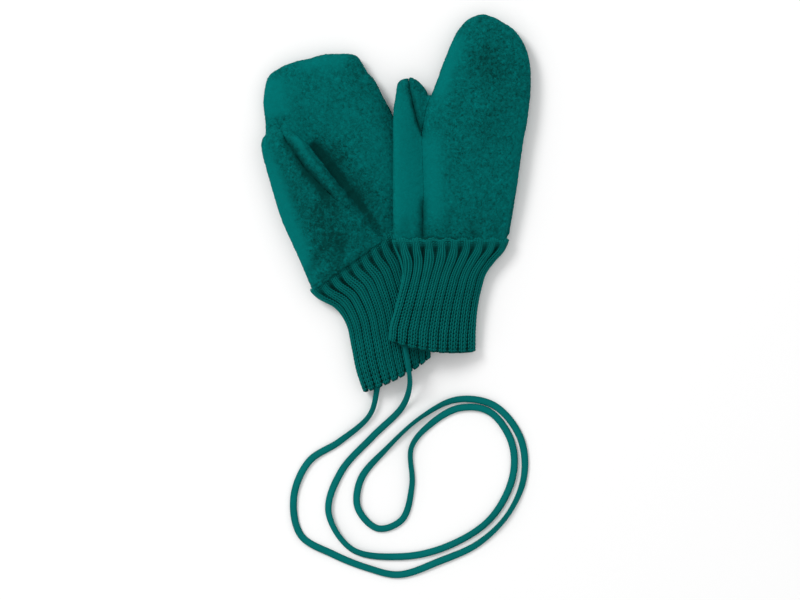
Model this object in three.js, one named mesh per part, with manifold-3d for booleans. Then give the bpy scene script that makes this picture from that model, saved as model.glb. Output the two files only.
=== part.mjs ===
// A pair of baby mittens joined by a cord, laid flat one over the other. Millimetres, +Z up.
//
// Each mitten is cut from three panels: a back, an upper palm with the inner half of the
// thumb, and a lower palm with the outer half. A ribbed cuff is sewn to the wrist, and the
// cord is sewn inside the hem of each cuff. The left mitten lies palm up with its thumb
// folded over the palm. The right one lies palm down, with one edge over the left mitten.
//
// A hand, thumb or cuff is a hollow through cross-sections. Each section is one row of a
// table: its left and right edge points, and how far the cloth stands above and below the
// line between them. The panels are that wall parted along its seams.

import * as THREE from "three";
import { mergeVertices } from "three/addons/utils/BufferGeometryUtils.js";
import Module from "manifold-3d";

const wasm = await Module();
wasm.setup();

// Driving dimensions
const HAND_WALL = 2.2;
const CUFF_WALL = 2.2;
const RIB_COUNT = 20;
const RIB_DEPTH = 0.8;
const HEM_SCALLOP = 0.8;
const SEAM_GAP = 0.3;
const LYING_GAP = 0.5;
const THUMB_ALLOWANCE = 0.2;
const CRUMB = 0.03;
const CORD_RADIUS = 1.5;
const CORD_SIDES = 8;
const CORD_STEPS = 80;

// How finely the walls are divided
const HAND_STATIONS = 18;
// The seam has its own count, so that none of its edges lies in a plane of the hand's rings.
const SEAM_STATIONS = 11;
const HAND_POINTS = 28;
const THUMB_STATIONS = 12;
const THUMB_POINTS = 18;
const CUFF_STATIONS = 9;
const CUFF_INSIDE_POINTS = 30;
const POINTS_PER_RIB = 3;
const EVEN_SAMPLES = 240;

// The roundness of a section: 2 is an ellipse, more is squarer
const TOP_ROUNDNESS = 2.3;
const UNDER_ROUNDNESS = 3;

// A cavity is narrower than its wall's outside by this many walls at each edge, and keeps at
// least a share of the width and a little height
const EDGE_THICKENING = 1.3;
const LEAST_WIDTH = 0.15;
const LEAST_HEIGHT = 0.3;

// A cavity stops this many table rows short of the tip and runs this far out of the mouth
const TIP_ROWS = 0.9;
const MOUTH_RUN = 2;

// Cloth that lies on other cloth clears the highest point within this distance
const BED_REACH = 2.2;

// Space around the model that the seam cutters reach over
const REACH = 40;

const COLUMNS = ["leftX", "leftY", "rightX", "rightY", "leftZ", "rightZ", "crown", "depth", "lean", "bow"];

// leftX/Y/Z and rightX/Y/Z are the edge points, crown and depth the height above and below
// the line between them, lean moves the crown towards the right edge, and bow carries the
// middle of a section past its edges towards the fingers
const LEFT_HAND = sections([
  [-45.0, -47.3, 4.4, -12.1, 5.5, 5.0, 5.5, 5.5, 0.0, 0.0],
  [-51.5, -25.4, 6.1, 3.9, 5.5, 5.0, 6.3, 5.5, 0.1, 0.0],
  [-60.0, -4.8, 6.1, 19.8, 5.5, 5.0, 6.3, 5.5, 0.2, 0.0],
  [-66.8, 14.6, 3.3, 34.7, 5.5, 5.0, 6.3, 5.5, 0.3, 0.0],
  [-72.0, 34.0, -1.7, 49.0, 5.5, 5.0, 6.5, 5.5, 0.3, 0.0],
  [-73.2, 48.4, -7.2, 59.4, 6.0, 5.5, 7.0, 6.0, 0.1, 0.0],
  [-72.6, 60.0, -11.0, 67.1, 6.0, 5.5, 7.0, 6.0, 0.0, 0.0],
  [-70.4, 69.3, -15.4, 73.7, 6.0, 5.5, 6.5, 6.0, 0.0, 0.0],
  [-64.7, 74.4, -18.4, 79.4, 6.0, 5.5, 5.5, 6.0, 0.0, 0.0],
  [-56.6, 77.9, -24.0, 82.2, 6.0, 5.5, 4.0, 6.0, 0.0, 0.0],
  [-45.5, 81.3, -32.0, 83.1, 6.0, 5.5, 2.0, 4.0, 0.0, 0.0],
]);

const LEFT_THUMB = sections([
  [-46.0, -47.9, 0.0, -15.0, 6.5, 6.0, 6.5, 3.0, 0.0, 0.0],
  [-54.7, -27.0, -18.7, -3.9, 8.0, 8.5, 7.0, 5.0, 0.3, 0.0],
  [-62.4, -9.9, -27.0, 7.2, 8.5, 10.5, 6.5, 6.0, 0.4, 0.0],
  [-68.0, 7.7, -34.7, 15.4, 9.0, 12.5, 5.5, 6.0, 0.4, 0.0],
  [-72.3, 23.1, -41.3, 23.7, 9.5, 14.0, 4.5, 4.5, 0.4, 0.0],
  [-74.4, 33.0, -48.4, 32.5, 10.0, 14.5, 4.0, 4.0, 0.4, 0.0],
  [-72.6, 38.6, -53.4, 36.9, 10.5, 14.0, 3.2, 3.5, 0.3, 0.0],
  [-67.0, 40.2, -57.5, 40.0, 12.0, 13.5, 1.8, 2.0, 0.0, 0.0],
]);

const RIGHT_HAND = sections([
  [15.4, -20.1, 61.6, -20.4, 8.5, 5.5, 5.5, 8.5, 0.0, 0.0],
  [15.4, -0.6, 64.9, -1.1, 9.0, 6.0, 7.0, 9.0, 0.0, 0.0],
  [14.9, 18.7, 67.7, 18.2, 9.0, 6.5, 8.0, 9.0, 0.0, 0.0],
  [14.3, 34.1, 69.9, 33.6, 9.0, 6.5, 8.5, 9.0, 0.0, 0.0],
  [15.1, 44.0, 71.8, 43.5, 8.5, 6.5, 8.5, 8.5, 0.0, 0.0],
  [17.1, 53.9, 73.2, 53.4, 8.0, 6.5, 8.5, 8.0, 0.0, 0.0],
  [21.1, 64.4, 74.1, 63.8, 7.5, 6.5, 8.0, 7.5, 0.0, 0.0],
  [25.5, 76.5, 73.8, 75.9, 7.0, 6.5, 7.5, 7.0, 0.0, 0.0],
  [29.9, 87.5, 70.8, 86.9, 7.0, 6.5, 6.5, 7.0, 0.0, 0.0],
  [34.2, 96.0, 64.4, 96.3, 7.0, 6.5, 5.0, 7.0, 0.0, 0.0],
  [39.0, 102.0, 56.4, 102.0, 7.0, 6.5, 3.2, 5.5, 0.0, 0.0],
  [43.5, 104.2, 51.0, 104.4, 7.0, 6.5, 1.6, 3.5, 0.0, 0.0],
]);

const RIGHT_THUMB = sections([
  [-1.7, -20.4, 30.0, -20.4, 14.0, 5.0, 3.8, 9.0, -0.4, 0.0],
  [-1.7, -0.6, 30.0, -0.6, 14.5, 5.0, 4.0, 10.0, -0.5, 0.0],
  [-1.7, 18.7, 28.0, 18.7, 14.5, 5.0, 4.2, 10.0, -0.5, 0.0],
  [-1.7, 32.5, 25.0, 32.5, 14.5, 5.0, 4.4, 10.0, -0.4, 0.0],
  [-1.7, 43.5, 20.0, 43.5, 14.5, 5.5, 4.4, 10.0, -0.2, 0.0],
  [-1.3, 52.8, 18.4, 52.8, 14.0, 6.0, 4.4, 8.5, 0.0, 0.0],
  [-0.1, 59.4, 17.7, 59.4, 13.0, 6.5, 4.2, 8.5, 0.0, 0.0],
  [0.6, 64.8, 15.9, 64.4, 11.5, 7.0, 3.6, 7.5, 0.0, 0.0],
  [2.4, 67.6, 12.4, 67.4, 10.0, 7.5, 2.2, 5.0, 0.0, 0.0],
  [5.4, 68.8, 9.2, 68.7, 9.0, 8.0, 1.0, 3.0, 0.0, 0.0],
]);

const LEFT_CUFF = sections([
  [-46.5, -48.7, 5.4, -11.8, 5.5, 5.0, 5.6, 5.5, 0.0, 0.0],
  [-42.9, -52.5, 7.4, -18.7, 5.5, 5.0, 5.5, 5.5, 0.0, 0.0],
  [-34.7, -56.7, 9.9, -26.4, 5.5, 5.0, 5.3, 5.5, 0.0, 0.0],
  [-30.3, -61.1, 12.1, -36.3, 5.5, 5.0, 5.0, 5.5, 0.0, 0.0],
  [-26.7, -68.2, 14.9, -48.4, 5.5, 5.0, 5.0, 5.5, 0.0, 0.0],
  [-24.5, -78.7, 17.1, -60.5, 5.5, 5.0, 5.0, 5.5, 0.0, 0.0],
  [-22.0, -91.3, 18.7, -72.6, 5.5, 5.0, 5.0, 5.5, 0.0, -1.0],
  [-18.2, -102.6, 19.2, -83.5, 5.5, 5.0, 5.2, 5.5, 0.0, -1.8],
]);

const RIGHT_CUFF = sections([
  [-1.9, -20.9, 61.8, -20.9, 14.0, 5.5, 4.8, 10.0, 0.0, 0.0],
  [0.0, -26.4, 59.7, -25.9, 14.5, 5.5, 4.8, 10.0, 0.0, 0.0],
  [2.5, -32.5, 54.2, -31.9, 15.0, 5.5, 4.6, 10.0, 0.0, 0.0],
  [3.3, -39.1, 49.5, -38.5, 15.5, 5.5, 4.5, 10.5, 0.0, 0.0],
  [1.9, -47.3, 46.8, -47.3, 16.0, 5.5, 4.4, 10.5, 0.0, 0.0],
  [-0.8, -58.3, 44.7, -58.3, 16.5, 5.5, 4.4, 10.5, 0.0, 0.0],
  [-3.3, -67.0, 43.8, -70.4, 17.0, 5.5, 4.8, 10.5, -0.2, -1.2],
  [-4.1, -73.8, 43.7, -80.0, 17.5, 5.5, 5.2, 10.5, -0.3, -3.0],
]);

// The palm seams seen from above, from the thumb's tip down its middle and on across the palm
const LEFT_PALM_SEAM = [[-64.0, 45.0], [-60.5, 34.0], [-50.0, 18.7], [-39.0, 7.7], [-31.0, 1.0],
  [-19.0, -8.0], [-5.0, -19.5], [2.0, -26.0]];
const RIGHT_PALM_SEAM = [[6.0, 76.0], [7.2, 67.1], [8.8, 60.0], [10.5, 52.8], [12.1, 46.2],
  [14.6, 39.1], [28.0, 22.0], [48.0, 0.0], [66.0, -24.0]];

// The left thumb is free of the palm past this line, and past this row of its table
const LEFT_THUMB_ROOT = [[-78.0, 35.5], [-66.0, 24.0]];
const LEFT_THUMB_ROOT_ROW = 3;

// The point of the palm seam where the thumb joins the hand
const LEFT_CROTCH = 4;

// Corners beyond the mittens that close the outlines of the lower palms
const LEFT_BEYOND_CUFF = [[2, -70], [-90, -70]];
const LEFT_BEYOND_PALM = [[-90, 40]];
const LEFT_BEYOND_THUMB = [[-90, 60]];
const RIGHT_BEYOND_THUMB = [[-30, -24], [-30, 76]];

// The cord's route: x, y and the height of its middle. It leaves the left cuff, makes two
// turns on the table and comes back over the left cuff into the right one
const CORD_HEIGHT = 1.75;
const CORD_ROUTE = [
  [-9.8, -98.6, 5.0], [-14.2, -115.6, 2.6], [-30.8, -130.4], [-47.9, -141.6], [-56.2, -161.2],
  [-52.3, -182.1], [-34.7, -192.5], [-15.4, -200.2], [1.7, -203.8], [24.2, -196.3],
  [45.1, -186.7], [61.6, -170.5], [70.4, -149.6], [68.2, -128.2], [53.9, -110.8],
  [33.6, -107.5], [13.8, -117.2], [-5.5, -134.8], [-19.3, -151.3], [-20.9, -167.2],
  [-9.9, -178.4], [3.3, -173.5], [8.8, -154.6], [8.5, -133.7], [18.7, -121.3],
  [34.7, -112.2], [51.2, -114.1], [63.3, -130.4], [64.1, -150.2], [51.7, -173.3],
  [27.5, -188.5], [2.2, -193.9], [-24.2, -189.8], [-37.1, -169.4], [-30.3, -147.4],
  [-13.2, -128.2], [3.3, -111.7, 2.6], [7.4, -100.5, 7.6], [7.0, -91.0, 13.2], [3.6, -72.0, 16.1],
];

// Colours
const FLEECE = 0x04605b;
const RIB_KNIT = 0x0b5751;
const CORD_YARN = 0x0b5e5b;

function sections(rows) {
  return rows.map((row) => Object.fromEntries(COLUMNS.map((name, index) => [name, row[index]])));
}

// A smooth curve through four numbers, at a fraction of the way from the second to the third
function smooth(a, b, c, d, t) {
  const bend = 2 * a - 5 * b + 4 * c - d;
  const twist = 3 * b - a - 3 * c + d;
  return b + 0.5 * t * (c - a + t * (bend + t * twist));
}

// The section part of the way along a table, where place counts rows from 0
function sectionAt(table, place) {
  const last = table.length - 1;
  const index = Math.max(0, Math.min(last - 1, Math.floor(place)));
  const row = (offset) => table[Math.max(0, Math.min(last, index + offset))];
  const blend = (name) => smooth(row(-1)[name], row(0)[name], row(1)[name], row(2)[name], place - index);
  return { place, ...Object.fromEntries(COLUMNS.map((name) => [name, blend(name)])) };
}

function stations(table, count, shortBy = 0) {
  const last = table.length - 1 - shortBy;
  return Array.from({ length: count + 1 }, (_, i) => sectionAt(table, (last * i) / count));
}

// A section moved towards the fingers
function shifted(row, distance) {
  const across = new THREE.Vector2(row.rightX - row.leftX, row.rightY - row.leftY).normalize();
  return {
    ...row,
    leftX: row.leftX - across.y * distance,
    leftY: row.leftY + across.x * distance,
    rightX: row.rightX - across.y * distance,
    rightY: row.rightY + across.x * distance,
  };
}

function edgesOf(row) {
  const left = new THREE.Vector3(row.leftX, row.leftY, row.leftZ);
  const right = new THREE.Vector3(row.rightX, row.rightY, row.rightZ);
  const across = right.clone().sub(left).setZ(0).normalize();
  return { left, right, across, forward: new THREE.Vector3(-across.y, across.x, 0) };
}

// The closed ring of points round one section, shrunk by inset. It never goes below what it
// lies on
function ring(row, count, inset, restsOn) {
  const { left, right, forward } = edgesOf(row);
  const middle = left.clone().add(right).multiplyScalar(0.5);
  const half = right.clone().sub(middle);
  const narrowed = Math.max(LEAST_WIDTH, 1 - (inset * EDGE_THICKENING) / half.length());
  return Array.from({ length: count }, (_, i) => {
    const angle = (2 * Math.PI * i) / count;
    const power = 2 / (Math.sin(angle) >= 0 ? TOP_ROUNDNESS : UNDER_ROUNDNESS);
    const across = Math.sign(Math.cos(angle)) * Math.abs(Math.cos(angle)) ** power;
    const up = Math.sign(Math.sin(angle)) * Math.abs(Math.sin(angle)) ** power;
    const crown = Math.max(LEAST_HEIGHT, row.crown * (1 + row.lean * across) - inset);
    const depth = Math.max(LEAST_HEIGHT, row.depth - inset);
    const point = middle.clone().addScaledVector(half, across * narrowed);
    point.z += up * (up > 0 ? crown : depth);
    point.addScaledVector(forward, row.bow * (1 - across * across));
    point.z = Math.max(point.z, restsOn(point.x, point.y) + inset);
    return point;
  });
}

const onTable = () => 0;

// A three.js geometry as a solid, with its shared corners merged and its faces outwards
function solid(geometry) {
  geometry.deleteAttribute("normal");
  geometry.deleteAttribute("uv");
  const merged = mergeVertices(geometry, 1e-4);
  const vertProperties = Float32Array.from(merged.attributes.position.array);
  const triVerts = Uint32Array.from(merged.index.array);
  const made = new wasm.Manifold(new wasm.Mesh({ numProp: 3, vertProperties, triVerts }));
  if (made.volume() > 0) return made;
  triVerts.reverse();
  return new wasm.Manifold(new wasm.Mesh({ numProp: 3, vertProperties, triVerts }));
}

// A closed body through rings with the same number of points
function loft(rings) {
  const count = rings[0].length;
  const points = rings.flat();
  const triangles = [];
  for (let i = 0; i + 1 < rings.length; i += 1) {
    for (let j = 0; j < count; j += 1) {
      const a = i * count + j;
      const b = i * count + ((j + 1) % count);
      triangles.push(a, a + count, b, b, a + count, b + count);
    }
  }
  for (const end of [0, rings.length - 1]) {
    const total = rings[end].reduce((sum, point) => sum.add(point), new THREE.Vector3());
    const centre = points.push(total.divideScalar(count)) - 1;
    for (let j = 0; j < count; j += 1) {
      const a = end * count + j;
      const b = end * count + ((j + 1) % count);
      triangles.push(...(end === 0 ? [centre, a, b] : [centre, b, a]));
    }
  }
  const geometry = new THREE.BufferGeometry().setFromPoints(points);
  geometry.setIndex(triangles);
  return solid(geometry);
}

// An upright prism over an outline seen from above
function prism(outline) {
  const shape = new THREE.Shape(outline.map(([x, y]) => new THREE.Vector2(x, y)));
  const geometry = new THREE.ExtrudeGeometry(shape, { depth: 2 * REACH, bevelEnabled: false });
  return solid(geometry.translate(0, 0, -REACH));
}

// The outside of a hand or thumb, grown by a distance
function outsideOf(table, count, points, restsOn, grow = 0) {
  const rows = stations(table, count);
  rows[0] = shifted(rows[0], -grow);
  rows[count] = shifted(rows[count], grow);
  return loft(rows.map((row) => ring(row, points, -grow, restsOn(row))));
}

// The cavity in it, which runs out past the wrist
function insideOf(table, count, points, restsOn) {
  const rows = stations(table, count, TIP_ROWS);
  rows[0] = shifted(rows[0], -MOUTH_RUN);
  return loft(rows.map((row) => ring(row, points, HAND_WALL, restsOn(row))));
}

// The space above the line between a hand's edges, lowered by half a seam's gap, or raised
// where that is negative. It starts leftReach beyond the left edge
function aboveSeam(table, leftReach, gap) {
  const rows = stations(table, SEAM_STATIONS);
  rows.unshift(shifted(rows[0], -REACH));
  rows.push(shifted(rows[rows.length - 1], REACH));
  return loft(rows.map((row) => {
    const { left, right, across } = edgesOf(row);
    left.addScaledVector(across, -leftReach).setZ(row.leftZ - gap);
    right.addScaledVector(across, REACH).setZ(row.rightZ - gap);
    return [left, right, right.clone().setZ(REACH), left.clone().setZ(REACH)];
  }));
}

function trianglesOf(item) {
  const { vertProperties, numProp, triVerts } = item.getMesh();
  const corners = Array.from(triVerts, (index) => vertProperties.slice(index * numProp, index * numProp + 3));
  return Array.from({ length: corners.length / 3 }, (_, i) => corners.slice(3 * i, 3 * i + 3));
}

// The height of a triangle over a place, or 0 beside it
function heightOver([a, b, c], x, y) {
  const area = (b[0] - a[0]) * (c[1] - a[1]) - (c[0] - a[0]) * (b[1] - a[1]);
  if (Math.abs(area) < 1e-6) return 0;
  const s = ((x - a[0]) * (c[1] - a[1]) - (c[0] - a[0]) * (y - a[1])) / area;
  const t = ((b[0] - a[0]) * (y - a[1]) - (x - a[0]) * (b[1] - a[1])) / area;
  if (s < 0 || t < 0 || s + t > 1) return 0;
  return a[2] + s * (b[2] - a[2]) + t * (c[2] - a[2]);
}

// How high cloth lies over some solids at a place, or 0 beside them
function topOf(solids) {
  const faces = solids.flatMap(trianglesOf);
  const around = [[0, 0], [BED_REACH, 0], [-BED_REACH, 0], [0, BED_REACH], [0, -BED_REACH]];
  const heightAt = (x, y) => faces.reduce((height, face) => Math.max(height, heightOver(face, x, y)), 0);
  return (x, y) => {
    const height = Math.max(...around.map(([dx, dy]) => heightAt(x + dx, y + dy)));
    return height > 0 ? height + LYING_GAP : 0;
  };
}

// A ring's points spread evenly round it
function evenly(points, count) {
  const closed = [...points, points[0]];
  const lengths = [0];
  for (let i = 1; i < closed.length; i += 1) {
    lengths.push(lengths[i - 1] + closed[i].distanceTo(closed[i - 1]));
  }
  const total = lengths[lengths.length - 1];
  return Array.from({ length: count }, (_, i) => {
    const target = (total * i) / count;
    const k = Math.max(1, lengths.findIndex((length) => length >= target));
    return closed[k - 1].clone().lerp(closed[k], (target - lengths[k - 1]) / (lengths[k] - lengths[k - 1]));
  });
}

// One ring round a ribbed cuff. Every third point is the bottom of a groove, except at the
// wrist seam and where the cuff lies on something, and the ribs stand out at the hem
function ribbedRing(row, restsOn, atWrist, atHem) {
  const count = RIB_COUNT * POINTS_PER_RIB;
  const { forward } = edgesOf(row);
  const points = evenly(ring(row, EVEN_SAMPLES, 0, restsOn), count);
  return points.map((point, j) => {
    const tangent = points[(j + 1) % count].clone().sub(points[(j + count - 1) % count]);
    const inward = tangent.cross(forward).normalize();
    const groove = j % POINTS_PER_RIB === 0;
    const lies = point.z < restsOn(point.x, point.y) + RIB_DEPTH;
    const moved = point.clone();
    if (groove && !lies && !atWrist) moved.addScaledVector(inward, RIB_DEPTH);
    if (atHem && !groove) moved.addScaledVector(forward, -HEM_SCALLOP);
    return moved;
  });
}

function cuff(table, restsOn) {
  const rows = stations(table, CUFF_STATIONS);
  const last = rows.length - 1;
  const outside = rows.map((row, i) => ribbedRing(row, restsOn, i === 0, i === last));
  const inner = [shifted(rows[0], MOUTH_RUN), ...rows.slice(1, last), shifted(rows[last], -MOUTH_RUN)];
  const inside = inner.map((row) => ring(row, CUFF_INSIDE_POINTS, CUFF_WALL, restsOn));
  return loft(outside).subtract(loft(inside));
}

// An outline moved away from the lower palm, to open a seam
function opened(outline, gap) {
  return outline.map(([x, y]) => [x + gap, y + gap]);
}

// A cut panel without the crumbs and hair-thin edges that a cut leaves
function whole(panel) {
  const largest = panel.decompose().sort((a, b) => b.volume() - a.volume())[0];
  return largest.simplify(CRUMB);
}

// The left mitten lies palm up, with its thumb over the palm
function leftMitten() {
  const table = () => onTable;
  const hand = outsideOf(LEFT_HAND, HAND_STATIONS, HAND_POINTS, table);
  const palmTop = topOf([hand]);
  const underThumb = (row) => (row.place > LEFT_THUMB_ROOT_ROW ? palmTop : onTable);
  const thumbGrown = (grow) => outsideOf(LEFT_THUMB, THUMB_STATIONS, THUMB_POINTS, underThumb, grow);
  const wall = hand.add(thumbGrown(0))
    .subtract(insideOf(LEFT_HAND, HAND_STATIONS, HAND_POINTS, table))
    .subtract(insideOf(LEFT_THUMB, THUMB_STATIONS, THUMB_POINTS, underThumb));
  const crossSeam = [...LEFT_THUMB_ROOT, ...LEFT_PALM_SEAM.slice(LEFT_CROTCH)];
  const palmOutline = [...LEFT_BEYOND_PALM, ...crossSeam, ...LEFT_BEYOND_CUFF];
  const thumbOutline = [...LEFT_BEYOND_THUMB, ...LEFT_PALM_SEAM, ...LEFT_BEYOND_CUFF];
  const lowerPalmZone = (gap) => {
    const outerThumb = prism(opened(thumbOutline, gap)).intersect(thumbGrown(gap + THUMB_ALLOWANCE));
    return prism(opened(palmOutline, gap)).add(outerThumb);
  };
  const palmSide = wall.intersect(aboveSeam(LEFT_HAND, REACH, -SEAM_GAP / 2));
  return {
    back: whole(wall.subtract(aboveSeam(LEFT_HAND, REACH, SEAM_GAP / 2))),
    upperPalm: whole(palmSide.subtract(lowerPalmZone(SEAM_GAP))),
    lowerPalm: whole(palmSide.intersect(lowerPalmZone(0))),
    cuff: whole(cuff(LEFT_CUFF, onTable)),
    grown: (grow) => [
      outsideOf(LEFT_HAND, HAND_STATIONS, HAND_POINTS, table, grow),
      thumbGrown(grow),
      outsideOf(LEFT_CUFF, CUFF_STATIONS, CUFF_INSIDE_POINTS, table, grow),
    ],
  };
}

// The right mitten lies palm down, with its left edge on the left mitten
function rightMitten(leftGrown) {
  const bed = topOf(leftGrown(0));
  const onBed = () => bed;
  const clear = (wall) => leftGrown(SEAM_GAP).reduce((part, under) => part.subtract(under), wall);
  const wall = clear(outsideOf(RIGHT_HAND, HAND_STATIONS, HAND_POINTS, onBed)
    .add(outsideOf(RIGHT_THUMB, THUMB_STATIONS, THUMB_POINTS, onBed))
    .subtract(insideOf(RIGHT_HAND, HAND_STATIONS, HAND_POINTS, onBed))
    .subtract(insideOf(RIGHT_THUMB, THUMB_STATIONS, THUMB_POINTS, onBed)));
  const palmSide = wall.subtract(aboveSeam(RIGHT_HAND, SEAM_GAP / 2, SEAM_GAP / 2));
  const lowerPalmZone = (gap) => prism(opened([...RIGHT_PALM_SEAM, ...RIGHT_BEYOND_THUMB], gap));
  return {
    back: whole(wall.intersect(aboveSeam(RIGHT_HAND, -SEAM_GAP / 2, -SEAM_GAP / 2))),
    upperPalm: whole(palmSide.subtract(lowerPalmZone(SEAM_GAP))),
    lowerPalm: whole(palmSide.intersect(lowerPalmZone(0))),
    cuff: whole(clear(cuff(RIGHT_CUFF, bed))),
  };
}

function cordGeometry() {
  const points = CORD_ROUTE.map(([x, y, z = CORD_HEIGHT]) => new THREE.Vector3(x, y, z));
  const path = new THREE.CatmullRomCurve3(points, false, "centripetal");
  const corners = Array.from({ length: CORD_SIDES }, (_, i) => {
    const angle = (2 * Math.PI * i) / CORD_SIDES;
    return new THREE.Vector2(CORD_RADIUS * Math.cos(angle), CORD_RADIUS * Math.sin(angle));
  });
  const options = { steps: CORD_STEPS, bevelEnabled: false, extrudePath: path };
  return new THREE.ExtrudeGeometry(new THREE.Shape(corners), options);
}

function geometryOf(item) {
  const { vertProperties, numProp, triVerts } = item.getMesh();
  const geometry = new THREE.BufferGeometry();
  geometry.setAttribute("position", new THREE.BufferAttribute(vertProperties, numProp));
  geometry.setIndex(new THREE.BufferAttribute(triVerts, 1));
  geometry.computeVertexNormals();
  return geometry;
}

function piece(name, geometry, color) {
  const material = new THREE.MeshStandardMaterial({ color, roughness: 0.95, metalness: 0 });
  const mesh = new THREE.Mesh(geometry, material);
  mesh.name = name;
  return mesh;
}

function mittenGroup(side, solids) {
  const group = new THREE.Group();
  group.add(piece(`${side}_back`, geometryOf(solids.back), FLEECE));
  group.add(piece(`${side}_upper_palm`, geometryOf(solids.upperPalm), FLEECE));
  group.add(piece(`${side}_lower_palm`, geometryOf(solids.lowerPalm), FLEECE));
  group.add(piece(`${side}_cuff`, geometryOf(solids.cuff), RIB_KNIT));
  return group;
}

const left = leftMitten();
const right = rightMitten(left.grown);
const mittens = new THREE.Group();
mittens.add(mittenGroup("left", left));
mittens.add(mittenGroup("right", right));
mittens.add(piece("cord", cordGeometry(), CORD_YARN));

export default mittens;
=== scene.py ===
# %% [markdown]
# A pair of baby mittens, lying flat.
# Each mitten is a hand of soft teal fleece, cut as a back, an upper palm and a lower palm
# that carries the thumb, sewn to a ribbed knit cuff. One flat cord joins the two cuffs.
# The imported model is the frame: every piece made here lies where one of its solids lies.

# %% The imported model
import math

import bmesh
import bpy
import numpy as np
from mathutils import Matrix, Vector
from mathutils.bvhtree import BVHTree
from mathutils.kdtree import KDTree


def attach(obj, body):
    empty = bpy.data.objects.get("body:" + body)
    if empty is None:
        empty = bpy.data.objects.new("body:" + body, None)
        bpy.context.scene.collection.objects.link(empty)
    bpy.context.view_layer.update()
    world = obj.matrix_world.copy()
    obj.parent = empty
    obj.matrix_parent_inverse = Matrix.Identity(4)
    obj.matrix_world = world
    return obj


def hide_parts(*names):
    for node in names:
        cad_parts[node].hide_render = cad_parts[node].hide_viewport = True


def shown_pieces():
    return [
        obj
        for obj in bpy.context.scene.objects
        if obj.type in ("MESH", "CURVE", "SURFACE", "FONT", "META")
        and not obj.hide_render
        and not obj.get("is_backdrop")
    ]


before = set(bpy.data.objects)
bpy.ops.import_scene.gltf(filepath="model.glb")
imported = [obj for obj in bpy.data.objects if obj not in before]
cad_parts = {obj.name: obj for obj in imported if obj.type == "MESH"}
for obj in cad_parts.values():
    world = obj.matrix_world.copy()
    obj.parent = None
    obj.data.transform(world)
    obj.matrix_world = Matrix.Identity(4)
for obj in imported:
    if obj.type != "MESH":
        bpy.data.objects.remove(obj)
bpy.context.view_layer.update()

MM = 0.001
print("solids of the packed model:", sorted(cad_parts))

# %% [markdown]
# The mittens were photographed from straight above on white. A camera far away with a long
# lens sees them almost without perspective, and it frames the same 440 mm of table.

# %% Camera
VIEW_WIDTH = 440 * MM
VIEW_CENTRE = (2.2 * MM, -52.8 * MM)
CAMERA_HEIGHT = 2.4
SENSOR_WIDTH = 36

scene = bpy.context.scene
camera_data = bpy.data.cameras.new("camera above the table")
camera_data.sensor_width = SENSOR_WIDTH
camera_data.lens = SENSOR_WIDTH * CAMERA_HEIGHT / VIEW_WIDTH
camera = bpy.data.objects.new("camera above the table", camera_data)
camera.location = (*VIEW_CENTRE, CAMERA_HEIGHT)
scene.collection.objects.link(camera)
scene.camera = camera
scene.view_settings.view_transform = "Standard"
print("lens in mm:", round(camera_data.lens, 1))

# %% [markdown]
# Materials and geometry are both made of nodes. Two small classes keep them readable. A
# Socket is the output of a node that takes part in ordinary arithmetic, and each operation
# adds its Math node. A Graph adds any other node from its type, its settings and its inputs.

# %% Nodes written as expressions
class Socket:
    """One output of a node, used in Python arithmetic."""

    def __init__(self, graph, socket):
        self.graph = graph
        self.socket = socket

    def maths(self, operation, *values):
        inputs = dict(enumerate(values))
        return self.graph.add("ShaderNodeMath", {"operation": operation}, inputs)

    def __add__(self, other):
        return self.maths("ADD", self, other)

    def __radd__(self, other):
        return self.maths("ADD", other, self)

    def __sub__(self, other):
        return self.maths("SUBTRACT", self, other)

    def __rsub__(self, other):
        return self.maths("SUBTRACT", other, self)

    def __mul__(self, other):
        return self.maths("MULTIPLY", self, other)

    def __rtruediv__(self, other):
        return self.maths("DIVIDE", other, self)

    def sine(self):
        return self.maths("SINE", self)

    def cosine(self):
        return self.maths("COSINE", self)

    def clamped(self):
        return self.graph.add("ShaderNodeClamp", {}, {"Value": self})

    def scaled(self, amount):
        """This vector made longer by a number."""
        inputs = {0: self, "Scale": amount}
        return self.graph.add("ShaderNodeVectorMath", {"operation": "SCALE"}, inputs)

    def plus(self, other):
        """The sum of this vector and another."""
        return self.graph.add("ShaderNodeVectorMath", {"operation": "ADD"}, {0: self, 1: other})


class Graph:
    """A node tree that is filled from Python."""

    def __init__(self, tree):
        self.tree = tree
        tree.nodes.clear()

    def add(self, kind, settings, inputs, output=0):
        node = self.tree.nodes.new(kind)
        for name, value in settings.items():
            setattr(node, name, value)
        for name, value in inputs.items():
            if isinstance(value, Socket):
                self.tree.links.new(value.socket, node.inputs[name])
            else:
                node.inputs[name].default_value = value
        return Socket(self, node.outputs[output]) if len(node.outputs) else node

    def attribute(self, name):
        return self.add("ShaderNodeAttribute", {"attribute_name": name}, {}, "Fac")

    def mixed(self, factor, first, second):
        """A colour between two others."""
        inputs = {0: factor, 6: first, 7: second}
        return self.add("ShaderNodeMix", {"data_type": "RGBA"}, inputs, 2)

    def noise(self, where, size, detail=2.0, roughness=0.5, curl=0.0):
        """Cloudy noise whose lumps are about size across, in metres."""
        inputs = {"Vector": where, "Scale": 1 / size, "Detail": detail, "Roughness": roughness,
                  "Distortion": curl}
        return self.add("ShaderNodeTexNoise", {}, inputs)
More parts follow.
